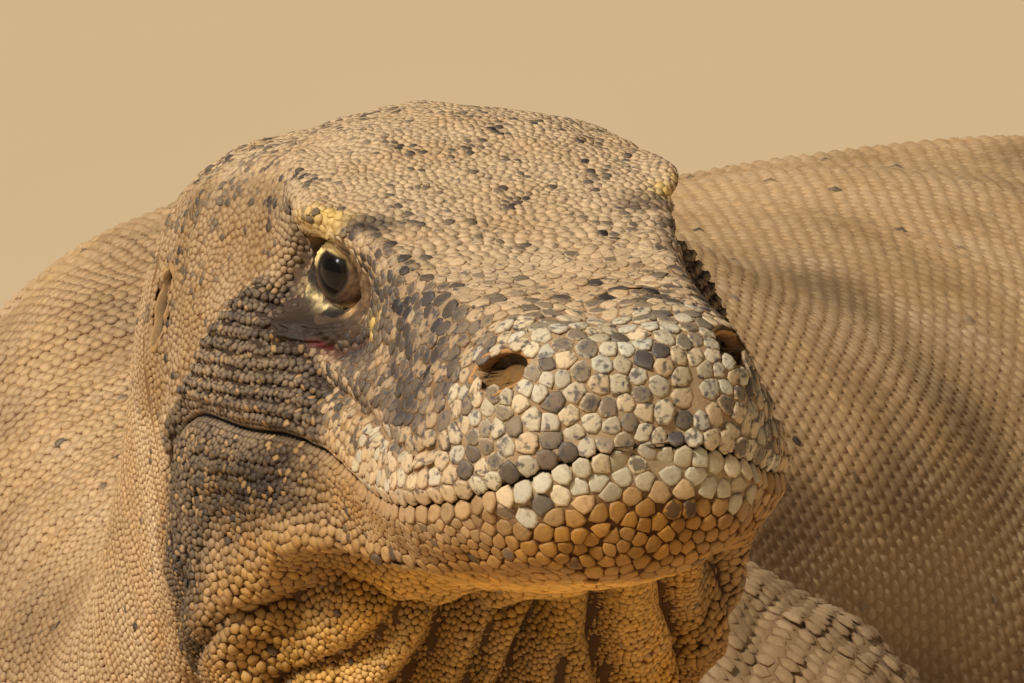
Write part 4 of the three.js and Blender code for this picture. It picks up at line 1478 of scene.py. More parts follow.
    def rings(self, first: float, last: float, pitch: tuple, wander: float, seed: int) -> Seeds:
        """Scales in rings over a stretch of the body.

        Args:
            first: Its start behind the neck's start.
            last: Its end.
            pitch: Pitches there.
            wander: Random moves, in pitches.
            seed: Which random numbers.

        Returns:
            The seeds.
        """
        body = self.body
        start = body.neck_start
        places = ring_rows(body.sheet, start + first, start + last, pitch, wander, seed)
        return self.seeds(body.sheet, places, body.site(*places[:2]))

    def limb(self, limb: Limb, seed: int) -> Seeds:
        """One limb's scales: rings on its tubes, without those buried in another tube.

        Args:
            limb: The limb.
            seed: Which random numbers.

        Returns:
            The seeds.
        """
        found = []
        for k, tube in enumerate(limb.tubes):
            sheet = tube.sheet
            pitch = ((4.8, 3.7), (3.3, 2.9))[k > 0]
            places = ring_rows(sheet, 1.0, sheet.along[-1] - 1.0, pitch, 0.1, seed + k)
            points = sheet.at(*places[:2], sheet.points)
            site = Site.on_limb(self.body.frame, points, side_of(places[1], sheet.points.shape[1]))
            seeds = self.seeds(sheet, places, site, k / len(limb.tubes), 1 / len(limb.tubes))
            inside = self.body.spine.depth(points) < -4.0
            for other in limb.tubes:
                if other is not tube:
                    inside |= other.spine.depth(points) < -1.6
            found.append(seeds.pick(~inside & (points[:, 2] > 0.4)))
        return Seeds.join(found)


# ---- Meshes ----


@dataclass
class Patch:
    """A mesh in the making: vertices in millimetres, triangles, and values at the vertices."""

    points: Array
    triangles: Array
    tint: Array
    mark: Array  # a plain number for the finish to use, such as how near a scale's rim or a claw's tip it is
    uv: Array
    core: Array | None = None  # colour of a scale's middle, where it isn't the tint
    specks: Array | None = None  # share of fine dark specks

    def __post_init__(self) -> None:
        """Fills in what was left out: a core like the tint, and no specks."""
        self.core = self.tint if self.core is None else self.core
        self.specks = np.zeros(len(self.tint)) if self.specks is None else self.specks

    @classmethod
    def join(cls, many: list) -> "Patch":
        """Several patches as one.

        Args:
            many: The patches.

        Returns:
            One patch.
        """
        starts = np.cumsum([0] + [len(p.points) for p in many[:-1]])
        whole = {name: np.concatenate([getattr(p, name) for p in many]) for name in vars(many[0])}
        whole["triangles"] = np.concatenate([p.triangles + start for p, start in zip(many, starts)])
        return cls(**whole)

    def part(self, vertices: slice, triangles: slice) -> "Patch":
        """A run of the vertices with the triangles that join them."""
        some = {name: value[vertices] for name, value in vars(self).items() if name != "triangles"}
        return Patch(triangles=self.triangles[triangles] - vertices.start, **some)


def closed_tube(points: Array, tint: Array, mark: Array, uv: Array) -> Patch:
    """A grid made a closed surface: triangles between its rows, and a fan over each end.

    Args:
        points: (rows, columns, 3).
        tint: Colours there.
        mark: Numbers there.
        uv: Places on the bake map.

    Returns:
        The patch, facing outward.
    """
    tips = (points[0].mean(0), points[-1].mean(0))
    ends = (tint[0].mean(0), tint[-1].mean(0))
    first = int(np.ptp(points[0], axis=0).max() < 0.05)
    last = len(points) - int(np.ptp(points[-1], axis=0).max() < 0.05)
    points, tint, mark, uv = (a[first:last] for a in (points, tint, mark, uv))
    rows, columns = points.shape[:2]
    number = np.arange(rows * columns).reshape(rows, columns)
    right = np.roll(number, -1, axis=1)
    a, b, c, d = number[:-1], right[:-1], right[1:], number[1:]
    tip = np.full(columns, rows * columns)
    corners = ((a, b, c), (a, c, d), (tip, right[0], number[0]), (number[-1], right[-1], tip + 1))
    return Patch(
        np.concatenate([points.reshape(-1, 3), tips]),
        np.concatenate([np.stack(three, -1).reshape(-1, 3) for three in corners]),
        np.concatenate([tint.reshape(-1, 3), ends]),
        np.concatenate([mark.ravel(), [mark[0].mean(), mark[-1].mean()]]),
        np.concatenate([uv.reshape(-1, 2), [uv[0].mean(0), uv[-1].mean(0)]]),
    )


def make_object(name: str, patch: Patch, material: Material) -> bpy.types.Object:
    """Puts a patch into a Blender mesh, riding on the model's one body.

    Args:
        name: The object's name.
        patch: What to build.
        material: Its finish.

    Returns:
        The object.
    """
    mesh = bpy.data.meshes.new(name)
    count = len(patch.triangles)
    mesh.vertices.add(len(patch.points))
    mesh.vertices.foreach_set("co", (patch.points * MM).astype(np.float32).ravel())
    mesh.loops.add(count * 3)
    mesh.loops.foreach_set("vertex_index", patch.triangles.astype(np.int32).ravel())
    mesh.polygons.add(count)
    mesh.polygons.foreach_set("loop_start", np.arange(0, count * 3, 3, dtype=np.int32))
    mesh.polygons.foreach_set("loop_total", np.full(count, 3, dtype=np.int32))
    mesh.polygons.foreach_set("use_smooth", np.ones(count, dtype=bool))
    layer = mesh.uv_layers.new(name="OFBake")
    layer.uv.foreach_set("vector", patch.uv[patch.triangles.ravel()].astype(np.float32).ravel())
    for label, colour in (("tint", patch.tint), ("core", patch.core)):
        values = np.concatenate([colour, patch.specks[:, None]], axis=1)
        layer = mesh.attributes.new(label, "FLOAT_COLOR", "POINT")
        layer.data.foreach_set("color", values.astype(np.float32).ravel())
    mesh.attributes.new("mark", "FLOAT", "POINT").data.foreach_set("value", patch.mark.astype(np.float32))
    mesh.update(calc_edges=True)
    mesh.materials.append(material)
    piece = link(bpy.data.objects.new(name, mesh))
    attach(piece, ROOT)
    LOG.info("%s: %d triangles", name, count)
    return piece


def link(thing: bpy.types.Object) -> bpy.types.Object:
    """Puts an object into the scene and gives it back."""
    bpy.context.scene.collection.objects.link(thing)
    return thing


# ---- The coat of scales ----


@dataclass(frozen=True)
class ScaleShape:
    """The form of one scale: its corners, and the rings between its foot and its peak."""

    corners: int
    rings: tuple = ()  # (share of half width, share of height) of each ring, from the outside in
    lean: float = 0.0  # how far its peak lies back, as a share of its half width
    foot: float = 0.2  # millimetres its foot lies below the skin
    reach: float = 0.84  # the furthest its corners go, as a share of the pitch

    @property
    def faces(self) -> int:
        """How many triangles one scale has."""
        return self.corners * (1 + 2 * len(self.rings))

    @property
    def points(self) -> int:
        """How many vertices one scale has."""
        return self.corners * (1 + len(self.rings)) + 1


COARSE_FROM = -70.0  # head x ahead of which the scales are the snout's
PEBBLE = ScaleShape(8, rings=((0.93, 0.5), (0.68, 0.9)))
TILE = ScaleShape(7, rings=((0.90, 0.72),))
BEAD = ScaleShape(6, rings=((0.88, 0.66),))
SHIELD = ScaleShape(6, lean=0.2, reach=1.2)
# Stretches of the coat behind the head: name, where it starts, pitches at its ends, wander and shape. Each
# ends where the next begins.
STRETCHES = (
    ("neck", 0, (1.55, 2.3), 0.10, BEAD),
    ("shoulder", 150, (2.4, 3.8), 0.11, BEAD),
    ("chest", 340, (3.8, 4.8), 0.12, SHIELD),
    ("trunk", 640, (4.8, 5.2), 0.12, SHIELD),
    ("tail", 1230, (5.1, 2.8), 0.08, SHIELD),
)


class Coat:
    """Scales built over seeds: each one a small closed dome whose outline ends half way to its neighbours."""

    LIMIT = 195000

    def __init__(self, hide: Hide, seed: int) -> None:
        """Keeps the palette and starts the random numbers."""
        self.hide = hide
        self.chance = np.random.default_rng(seed)

    @staticmethod
    def radii(seeds: Seeds, shape: ScaleShape, across: Array, angles: Array) -> Array:
        """How far scales reach in each direction: to the line that parts them from their neighbours.

        The line lies at the scale's share of the pitches: with d to the neighbour and e the direction, the
        reach is share |d|^2 / (d . e), and the least over the neighbours holds.

        Args:
            seeds: The scales.
            shape: Their form.
            across: Directions square to the one along.
            angles: (n, corners) angles from the one along.

        Returns:
            (n, corners) reaches.
        """
        found, gap = neighbours(seeds.points, 1.75 * float(seeds.pitch.max()), 12)
        away = seeds.points[found] - seeds.points[:, None]
        a = (away * seeds.along[:, None]).sum(-1)
        b = (away * across[:, None]).sum(-1)
        facing = (seeds.normals[found] * seeds.normals[:, None]).sum(-1) >= 0.0
        stretch = np.sqrt(gap) / np.maximum(np.hypot(a, b), 1e-6)
        share = seeds.pitch[:, None] / (seeds.pitch[:, None] + seeds.pitch[found])
        least = np.repeat(shape.reach * seeds.pitch[:, None], shape.corners, axis=1)
        for k in range(a.shape[1]):
            toward = (a[:, k, None] * np.cos(angles) + b[:, k, None] * np.sin(angles)) * stretch[:, k, None]
            edge = share[:, k, None] * gap[:, k, None] / np.maximum(toward, 1e-6)
            good = (toward > 1e-6) & facing[:, k, None] & (gap[:, k, None] < 1e8)
            least = np.where(good, np.minimum(least, edge), least)
        return least

    def build(self, seeds: Seeds, shape: ScaleShape) -> Patch:
        """The domes of a set of scales: a foot ring under the skin, the shape's rings, and a peak.

        Args:
            seeds: The scales.
            shape: Their form.

        Returns:
            The patch.
        """
        n, m = len(seeds.points), shape.corners
        angles = self.chance.uniform(0, 2 * math.pi / m, n)[:, None] + 2 * math.pi * np.arange(m) / m
        across = np.cross(seeds.normals, seeds.along)
        reaches = self.radii(seeds, shape, across, angles)
        spoke = seeds.along[:, None] * np.cos(angles)[..., None] + across[:, None] * np.sin(angles)[..., None]
        out = spoke * reaches[..., None]
        rise = (seeds.relief * seeds.pitch * self.chance.uniform(0.85, 1.15, n))[:, None, None]
        up = seeds.normals[:, None]
        centre = seeds.points[:, None]
        back = seeds.along[:, None] * (shape.lean * 0.5 * seeds.pitch[:, None, None])
        levels = [centre + out - up * (seeds.sunk + shape.foot)[:, None, None]]
        levels += [centre + out * wide + back * (1 - wide) + up * rise * high for wide, high in shape.rings]
        points = np.concatenate([*levels, centre + back + up * rise], axis=1)
        points[..., 2] = np.maximum(points[..., 2], 0.0)
        ring = np.arange(m)
        after = (ring + 1) % m
        top = shape.points - 1
        corners = [(ring + top - m, after + top - m, np.full(m, top))]
        for low in range(0, m * len(shape.rings), m):
            a, b, c, d = low + ring, low + after, low + m + after, low + m + ring
            corners += [(a, b, c), (a, c, d)]
        faces = np.concatenate([np.stack(three, -1) for three in corners])
        core, tint, specks = self.hide.scales(seeds.site, *self.chance.random((3, n)))
        widths = [1.0] + [wide for wide, _ in shape.rings]
        # The mark is 1 on the foot ring, where the finish paints seam dirt and shade, and falls towards the
        # peak.
        share = np.concatenate([np.full(m, 1.0 if wide == 1.0 else 0.86 * wide) for wide in widths] + [[0.0]])
        circle = 0.5 * PATCH * np.stack([np.cos(angles), np.sin(angles)], -1)
        flat = np.concatenate([circle * wide for wide in widths] + [np.zeros((n, 1, 2))], axis=1)
        return Patch(
            points.reshape(-1, 3),
            (faces[None] + (np.arange(n) * shape.points)[:, None, None]).reshape(-1, 3),
            np.repeat(tint, shape.points, axis=0),
            np.tile(share, n),
            (seeds.uv[:, None] + flat).reshape(-1, 2),
            np.repeat(core, shape.points, axis=0),
            np.repeat(specks, shape.points),
        )

    def pieces(self, name: str, seeds: Seeds, shape: ScaleShape, material: Material) -> None:
        """Builds a stretch of coat as one or more objects, split along the body to stay small.

        Args:
            name: The objects' name.
            seeds: The scales.
            shape: Their form.
            material: Their finish.
        """
        count = -(-len(seeds.points) * shape.faces // self.LIMIT)
        order = np.argsort(seeds.uv[:, 1], kind="stable")
        patch = self.build(seeds.pick(order), shape)
        cuts = np.linspace(0, len(order), count + 1).astype(int)
        for k, (a, b) in enumerate(zip(cuts[:-1], cuts[1:])):
            vertices, triangles = (slice(a * each, b * each) for each in (shape.points, shape.faces))
            part = patch.part(vertices, triangles)
            make_object(name if count == 1 else f"{name}_{k + 1}", part, material)


# ---- Skin ----


BODY_NODES = ("head", "lower_jaw", "neck", "trunk", "tail_base", "tail_middle", "tail_tip")
LEG_NODES = ("upper_arm", "forearm", "hand", "thigh", "shank", "foot")


class Skin:
    """The one skin under the scales: every tube drawn in by the coat's depth, in the scales' own colours with
    painted shade in the seams and holes.
    """

    def __init__(self, body: Body, limbs: list, hide: Hide) -> None:
        """Keeps the body, the four limbs and the palette."""
        self.body = body
        self.limbs = limbs
        self.hide = hide

    def body_patch(self) -> Patch:
        """The body's part of the skin, on every second row and column of the body's surface.

        Returns:
            The patch.
        """
        body = self.body
        sheet = body.sheet
        count = len(sheet.along)
        rows = np.append(np.arange(0, count - 1, 2), count - 1)
        r, c = np.meshgrid(rows, np.arange(0, body.COLUMNS, 2), indexing="ij")
        points = sheet.points[r, c]
        site = body.site(np.minimum(r.ravel(), count - 1.001), c.ravel().astype(float))
        x, y, z = site.head.T
        below = site.below
        part = self.hide.fields(site)
        true_x, true_y, true_z = body.frame.into(points.reshape(-1, 3)).T
        eye = reach((true_x, np.abs(true_y), true_z), EYE, (1, 1, 1))
        depth = skin_depth(site, part) + 5.0 * ramp(eye, 13.0, 9.5)
        depth = np.minimum(depth, 0.35 * np.interp(r.ravel(), np.arange(count), sheet.column_lengths() / 6.3))
        inner = points - sheet.normals[r, c] * depth.reshape(r.shape)[..., None]
        inner[..., 2] = np.maximum(inner[..., 2], 0.5)
        # Painted shade: the skin between the scales is darker under the jaw and throat.
        tint = self.hide.base(site, part) * (0.95 - 0.45 * part.head * ramp(below, 0.3, 0.9))[:, None]
        place = (x, np.abs(y), z)
        # Painted shade: near black in the nostril, the ear hole and the mouth's crease.
        dark = (reach(place, *NOSTRIL_DENT) < 1.05) | (reach(place, *EAR_DENT) < 1.0) & (site.side < 3.2)
        dark |= (np.abs(below) < 0.05) & (x > RICTUS)
        tint = np.where(dark[:, None], tint * 0.22, tint)
        # The mark sets how much of the finish's seam darkening, dirt and painted shade, the skin takes: less
        # on the smooth head, the crown and the body.
        smooth = part.head * ramp(below, 0.9, 0.4) * (1 - np.maximum(part.cheek, part.jowl))
        darkening = 1 - 0.06 * smooth - 0.10 * part.crown - 0.16 * part.wide
        uv = np.stack([0.9 * c / body.COLUMNS, r / count], -1)
        return closed_tube(inner, tint.reshape(*r.shape, 3), darkening.reshape(r.shape), uv)

    def limb_patch(self, limb: Limb) -> Patch:
        """A limb's part of the skin, on every row of the leg and every second of the others.

        Args:
            limb: The limb.

        Returns:
            The patch.
        """
        parts = []
        for k, tube in enumerate(limb.tubes):
            sheet = tube.sheet
            step = 1 if tube is limb.leg else 2
            points = sheet.points[::step, ::2]
            if (len(sheet.points) - 1) % step:
                points = np.concatenate([points, sheet.points[-1:, ::2]])
            rows, columns = points.shape[:2]
            inner = Sheet(points, np.arange(rows), sheet.around[::2])
            girth = inner.column_lengths()[:, None] / 6.3
            inner.raise_by(-np.minimum(0.4, 0.35 * girth) * np.ones((rows, columns)), 0.5)
            side = np.broadcast_to(side_of(np.arange(columns), columns), (rows, columns)).ravel()
            site = Site.on_limb(self.body.frame, inner.points.reshape(-1, 3), side)
            tint = self.hide.base(site, self.hide.fields(site))
            u, v = np.meshgrid(np.arange(columns) / columns, np.arange(rows) / rows)
            uv = np.stack([0.9 + 0.1 * (u * 0.9 + k) / 7, v], -1)
            # 0.84 gives a little of the finish's seam darkening: dirt and painted shade.
            mark = np.full((rows, columns), 0.84)
            parts.append(closed_tube(inner.points, tint.reshape(rows, columns, 3), mark, uv))
        return Patch.join(parts)

    def build(self, material: Material) -> None:
        """Makes the skin as one object that stands for every node of flesh."""
        patch = Patch.join([self.body_patch()] + [self.limb_patch(limb) for limb in self.limbs])
        legs = [f"{part}_{side}" for side in ("left", "right") for part in LEG_NODES]
        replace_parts(make_object("skin", patch, material), *BODY_NODES, *legs)


# ---- Eyes, lids, nostrils, ears and claws ----


@dataclass(frozen=True)
class Opening:
    """An oval opening in the side of the head."""

    x: float
    z: float
    long: float
    high: float
    tilt: float = 0.0

    def place(self, angle: Array, grow: Array) -> tuple:
        """Points on the oval, or on a larger or smaller one round its middle.

        Args:
            angle: Angle round it, from ahead, upward.
            grow: How many times its size.

        Returns:
            (x, z) in the head's axes.
        """
        tilt = math.radians(self.tilt)
        cos, sin = math.cos(tilt), math.sin(tilt)
        u = self.long * grow * np.cos(angle)
        v = self.high * grow * np.sin(angle)
        return self.x + u * cos + v * sin, self.z - u * sin + v * cos


NOSTRIL = Opening(-15.5, -15.0, 6.2, 4.6)
EAR_HOLE = Opening(EAR[0], EAR[2], 6.5, 9.5, -8.0)


class HeadParts:
    """The small parts of one side of the head: eyeball, lids, nostril rim and floor, ear rim and drum."""

    STEPS = 72
    GAZE = 27.0  # degrees the line of sight turns forward
    TILT = 14.0  # degrees the opening tips down ahead

    def __init__(self, body: Body, hide: Hide, side: Side) -> None:
        """Keeps the body they sit on, the palette and the side."""
        self.body = body
        self.hide = hide
        self.name, self.sign, _ = side.value

    def to_side(self, local: Array) -> Array:
        """World places of left-side head places, mirrored for the right."""
        return self.body.frame.out(local * np.array([1, self.sign, 1]))

    def collar(self, opening: Opening, grow: Array, height: Array) -> Array:
        """A profile carried round an opening, its height added to the flank's own.

        Args:
            opening: The oval.
            grow: (n,) its sizes, in ovals.
            height: (n,) heights.

        Returns:
            (n, steps, 3) left-side head places.
        """
        angle = np.linspace(0, 2 * math.pi, self.STEPS, endpoint=False)
        x, z = opening.place(angle[None], grow[:, None])
        flat, full = self.body.flank(*opening.place(angle[None], np.full((1, 1), 1.55)))
        y = self.body.flank(x, z)[0] + (full - flat) + height[:, None]
        return np.stack([x, y, z], -1)

    def on_ball(self, angle: Array, polar: Array, radius: Array) -> Array:
        """Left-side head places on a sphere round the eye's middle.

        With g the line of sight, f forward and w up, it lies along cos(p) g + sin(p) (cos(a) f + sin(a) w).

        Args:
            angle: a, round the line of sight.
            polar: p, from the line of sight.
            radius: The sphere's.

        Returns:
            The places.
        """
        turn = math.radians(self.GAZE)
        gaze = np.array([math.sin(turn), math.cos(turn), 0.0])
        ahead = np.array([math.cos(turn), -math.sin(turn), 0.0])
        angle, polar, radius = (np.asarray(v)[..., None] for v in np.broadcast_arrays(angle, polar, radius))
        side = np.cos(angle) * ahead + np.sin(angle) * UP
        return np.array(EYE) + radius * (np.cos(polar) * gaze + np.sin(polar) * side)

    def lid(self) -> Patch:
        """The lids and the skin round them: from a rounded margin over the ball, and out over the flank.

        The margin is an oval of 31 by 34 degrees, drawn to a point below and cut straight above. The skin
        lies on the ball to 64 degrees, then runs straight to the patch's oval edge, easing from the ball's
        height into the flank's, and sinks under the scales there.

        Returns:
            The patch.
        """
        angle = np.linspace(0, 2 * math.pi, 200, endpoint=False)[None]
        share = np.linspace(0, 1, 64)[:, None]
        tilt = angle + math.radians(self.TILT)
        power = 2.0 - 0.5 * ramp(np.sin(angle), 0.1, -0.4)
        wide, high = math.radians(31.0), math.radians(34.0)
        oval = np.abs(np.cos(tilt) / wide) ** power + np.abs(np.sin(tilt) / high) ** power
        cut = math.radians(26) / np.maximum(np.cos(angle - math.radians(72)), 0.25)
        margin = np.minimum(oval ** (-1 / power), cut)
        on_ball = np.clip(share / 0.3, 0, 1)
        out = np.clip((share - 0.3) / 0.7, 0, 1)
        polar = margin - 0.03 + (math.radians(64) - margin) * on_ball
        over = (polar - margin) * EYE_RADIUS
        upper = ramp(np.sin(angle), 0.12, 0.42)
        front = hill(np.mod(angle + 1.0, 2 * math.pi), 1.45, 0.38)
        edge = np.interp(over, [-0.25, 0.0, 0.35, 0.9, 2.0], [-0.5, 0.05, 0.4, 0.65, 0.7])
        swell = upper * (0.5 * hill(on_ball, 0.55, 0.3) - 0.4 * hill(on_ball, 1.0, 0.2))
        swell = swell + 0.9 * front * hill(on_ball, 0.6, 0.4)
        ball = self.on_ball(angle, polar, EYE_RADIUS + edge + swell)
        x0, z0, long, high = LID_PATCH
        x = ball[..., 0] * (1 - out) + out * (x0 + long * np.cos(angle))
        z = ball[..., 2] * (1 - out) + out * (z0 + high * np.sin(angle))
        folds = np.cos(2 * math.pi * (7.5 * out + 0.3 * np.cos(2 * angle + 0.6)))
        folds = 0.32 * folds * ramp(out, 0.02, 0.12)
        height = -0.25 + (0.7 + folds) * ramp(bare_reach(x, z), 1.1, 0.8) - 1.2 * ramp(out, 0.84, 1.0)
        ease = ramp(out, 0.0, 0.32)
        y = ball[..., 1] * (1 - ease) + ease * (self.body.flank(x, z)[1] + height)
        points = np.stack([x, np.where(out > 0, y, ball[..., 1]), z], -1)
        grain = 0.24 * ripple(points, 2.6, 51) + 0.20 * ripple(points, 1.3, 54)
        grain = grain + 0.5 * front * ripple(points, 2.0, 55)
        points[..., 1] += grain * ramp(share, 0.05, 0.15)
        ease = ease[..., None]
        inward = unit(ball - np.array(EYE)) * (1 - ease) + np.array([0.0, 1.0, 0.0]) * ease
        tint = self.lid_colours(points, out, upper, front, over)
        return self.open_ring(points, points - 1.1 * inward, tint, share * np.ones_like(angle))

    def lid_colours(self, points: Array, out: Array, upper: Array, front: Array, over: Array) -> Array:
        """The lids' colours: a cream band over the ball, yellow and brown above, grey-brown below, with
        painted shade at the margin and in the crease behind the eye.

        Args:
            points: The places.
            out: 0 where it leaves the ball, 1 at the edge.
            upper: 1 on the upper lid.
            front: 1 at the front corner.
            over: Distance from the margin.

        Returns:
            Linear colours.
        """
        hide = self.hide
        x, _, z = np.moveaxis(points, -1, 0)
        mottle = ripple(points, 3.2, 52) + 0.6 * ripple(points, 1.3, 53)
        band = upper * ramp(over, 0.4, 0.8) * ramp(over, 3.6, 2.8)
        corner = front * ramp(over, 0.3, 0.9) * ramp(out, 0.16, 0.04)
        coats = (
            (hide.umber * 0.24, spot(x, z, (-109, -10.0), (16, 6.5)) * 0.95),
            (rgb(44, 33, 26), spot(x, z, (-121, 3), (6.5, 10)) * 0.95),
            (rgb(116, 90, 60), spot(x, z, (-92, 1), (8, 9)) * (0.6 + 0.5 * mottle)),
            (hide.slate, spot(x, z, (-88, 3), (6, 8)) * np.clip(mottle, 0, 1) * 0.8),
            (rgb(196, 160, 88), spot(x, z, (-105, 12.0), (10, 3.0)) * (0.8 + 0.3 * mottle)),
            (rgb(84, 62, 30), stroke(x, z, ((-113, 10.4), (-104, 11.2), (-97, 10.2)), 0.7) * 0.7),
            (rgb(238, 206, 138), band * (0.95 + 0.25 * mottle)),
            (rgb(86, 64, 44), corner * (0.8 + 0.4 * mottle)),
            # Painted shade in the crease behind the eye.
            (rgb(62, 44, 34), stroke(x, z, EYE_CREASE, 1.3) * 0.85),
            (rgb(220, 194, 138), stroke(x, z, EYE_CRESCENT, 0.75) * (0.85 + 0.6 * mottle)),
            (rgb(206, 160, 108), stroke(x, z, ((-107.5, -6.8), (-100.0, -6.4)), 1.1) * 0.9),
            (hide.wine, stroke(x, z, EYE_WET_LINE, 1.2) * 0.8),
        )
        colour = painted(np.broadcast_to(rgb(104, 78, 54), points.shape), coats)
        # Painted shade: darker towards the margin over the ball, near black on its inner wall.
        shade = (0.10 + 0.90 * ramp(over, 0.25, 1.1)) * (1 + 0.22 * mottle)
        return colour * (shade * (1 + 0.6 * front * ripple(points, 2.0, 55)))[..., None]

    def open_ring(self, front: Array, back: Array, tint: Array, mark: Array) -> Patch:
        """A ring-shaped band made solid: its front and its back, joined along both edges.

        Args:
            front: (rows, columns, 3) left-side head places.
            back: The same, set back.
            tint: Colours.
            mark: Numbers.

        Returns:
            The patch, facing outward.
        """
        ring = self.to_side(np.concatenate([front, back[::-1]]))
        # The back, set in, is painted at half brightness as shade.
        colour = np.concatenate([tint, tint[::-1] * 0.5])
        total, columns = ring.shape[:2]
        index = np.arange(total * columns).reshape(total, columns)
        right = np.roll(index, -1, axis=1)
        below, across = (np.roll(a, -1, axis=0) for a in (index, right))
        corners = ((index, below, across), (index, across, right))
        faces = np.concatenate([np.stack(three, -1).reshape(-1, 3) for three in corners])[:, :: self.sign]
        u, v = np.meshgrid(np.arange(columns) / columns, np.arange(total) / total)
        uv = np.stack([u * 0.45 + (0.5 if self.sign < 0 else 0.02), v * 0.96], -1)
        numbers = np.concatenate([mark, mark[::-1]]).ravel()
        return Patch(ring.reshape(-1, 3), faces, colour.reshape(-1, 3), numbers, uv.reshape(-1, 2))

    def cap(self, points: Array, tint: Array, mark: Array, size: float) -> Patch:
        """Rings round a middle, closed, with a round place on their side's half of the bake map.

        Args:
            points: (rings, columns, 3) left-side head places.
            tint: Colours.
            mark: Numbers.
            size: Radius on the bake map.

        Returns:
            The patch.
        """
        grid = self.to_side(points)[:, :: -self.sign]
        rows, columns = grid.shape[:2]
        angle = np.arange(columns) / columns * 2 * math.pi
        radius = size * np.linspace(0, 1, rows)[:, None]
        uv = np.stack([0.5 - 0.25 * self.sign + radius * np.cos(angle), 0.5 + radius * np.sin(angle)], -1)
        return closed_tube(grid, np.broadcast_to(tint, grid.shape), mark * np.ones((1, columns)), uv)

    def disc(self, opening: Opening, size: float, depth: float, dome: float, tint: Array) -> Patch:
        """A domed plug in an opening, of the height dome (1 - share^2).

        Args:
            opening: The oval.
            size: The plug's, in ovals.
            depth: Its edge's, under the flank.
            dome: Its height.
            tint: Its colour.

        Returns:
            The patch.
        """
        share = np.linspace(0.02, 1, 14)
        points = self.collar(opening, share * size, dome * (1 - share**2) - depth)
        points = np.concatenate([points, points[-1:] - np.array([0.0, 2.0, 0.0])])
        # Painted shade: darker towards the plug's edge, and 0.3 on its sunken last ring.
        shade = np.concatenate([1.1 - 0.5 * share**2, [0.3]])[:, None, None]
        return self.cap(points, tint * shade, np.linspace(0, 1, len(points))[:, None], 0.2)

    def eyeball(self) -> Patch:
        """An eyeball: a sphere with a front 3 per cent fuller, marked with the angle from the pupil."""
        polar = np.linspace(0, math.pi, 40)[:, None]
        angle = np.linspace(0, 2 * math.pi, 64, endpoint=False)[None]
        points = self.on_ball(angle, polar, EYE_RADIUS * (1 + 0.03 * ramp(np.degrees(polar), 48, 20)))
        return self.cap(points, np.full(3, 0.02), np.degrees(polar) / 180, 0.24)

    def rim(self, opening: Opening, wide: float, high: float, tint: Array) -> Patch:
        """A raised rim round a nostril or an ear.

        Args:
            opening: The oval.
            wide: Its width, in ovals.
            high: Its height.
            tint: Its colour.

        Returns:
            The patch.
        """
        share = np.linspace(0, 1, 11)
        height = high * np.sin(math.pi * np.clip(share * 1.15, 0, 1)) ** 0.8
        height = height - 1.8 * (share < 0.05) - 1.6 * ramp(share, 0.75, 1.0)
        points = self.collar(opening, 0.86 + wide * share, height)
        # Painted shade: brightest on the crest, darker towards both edges, where the rim dips into the hole
        # and under the flank.
        colour = np.broadcast_to(tint * (0.45 + 0.65 * np.sin(math.pi * share))[:, None, None], points.shape)
        mark = np.broadcast_to(share[:, None], points.shape[:2])
        return self.open_ring(points, points - np.array([0.0, 1.2, 0.0]), colour, mark)

    def build(self, finishes: "Finishes") -> None:
        """Makes every small part of the side.

        Args:
            finishes: The finishes.
        """
        hide = self.hide
        low = replace(NOSTRIL, z=NOSTRIL.z - 2.3)
        eye = make_object(f"eyeball_{self.name}", self.eyeball(), finishes.eye)
        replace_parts(eye, f"eye_{self.name}")
        make_object(f"eyelids_{self.name}", self.lid(), finishes.lid)
        rim = self.rim(NOSTRIL, 0.32, 0.3, 0.6 * hide.ochre + 0.3 * hide.rust)
        # The nostril's floor: a dark bark, partly its colour and partly painted shade of the hole.
        floor = self.disc(low, 0.88, 3.0, 1.4, hide.bark * 0.4)
        make_object(f"nostril_{self.name}", Patch.join([rim, floor]), finishes.lid)
        rim = self.rim(EAR_HOLE, 0.3, 0.25, hide.ochre * 0.75)
        make_object(f"ear_rim_{self.name}", rim, finishes.lid)
        disc = self.disc(EAR_HOLE, 0.98, 2.6, 0.9, hide.umber * 0.6)
        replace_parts(make_object(f"eardrum_{self.name}", disc, finishes.drum), f"ear_{self.name}")


def claw_patch(limb: Limb) -> Patch:
    """The five claws of a foot, marked with the share of the way to the worn tip.

    Args:
        limb: The limb.

    Returns:
        The patch.
    """
    parts = []
    for k, tube in enumerate(limb.claws):
        sheet = tube.sheet
        u, run = np.meshgrid(sheet.around, sheet.along / sheet.along[-1])
        uv = np.stack([(u * 0.9 + k) / 5, run * 0.98], -1)
        parts.append(closed_tube(sheet.points, np.broadcast_to(rgb(52, 44, 38), sheet.points.shape), run, uv))
    return Patch.join(parts)


# ---- Finishes ----


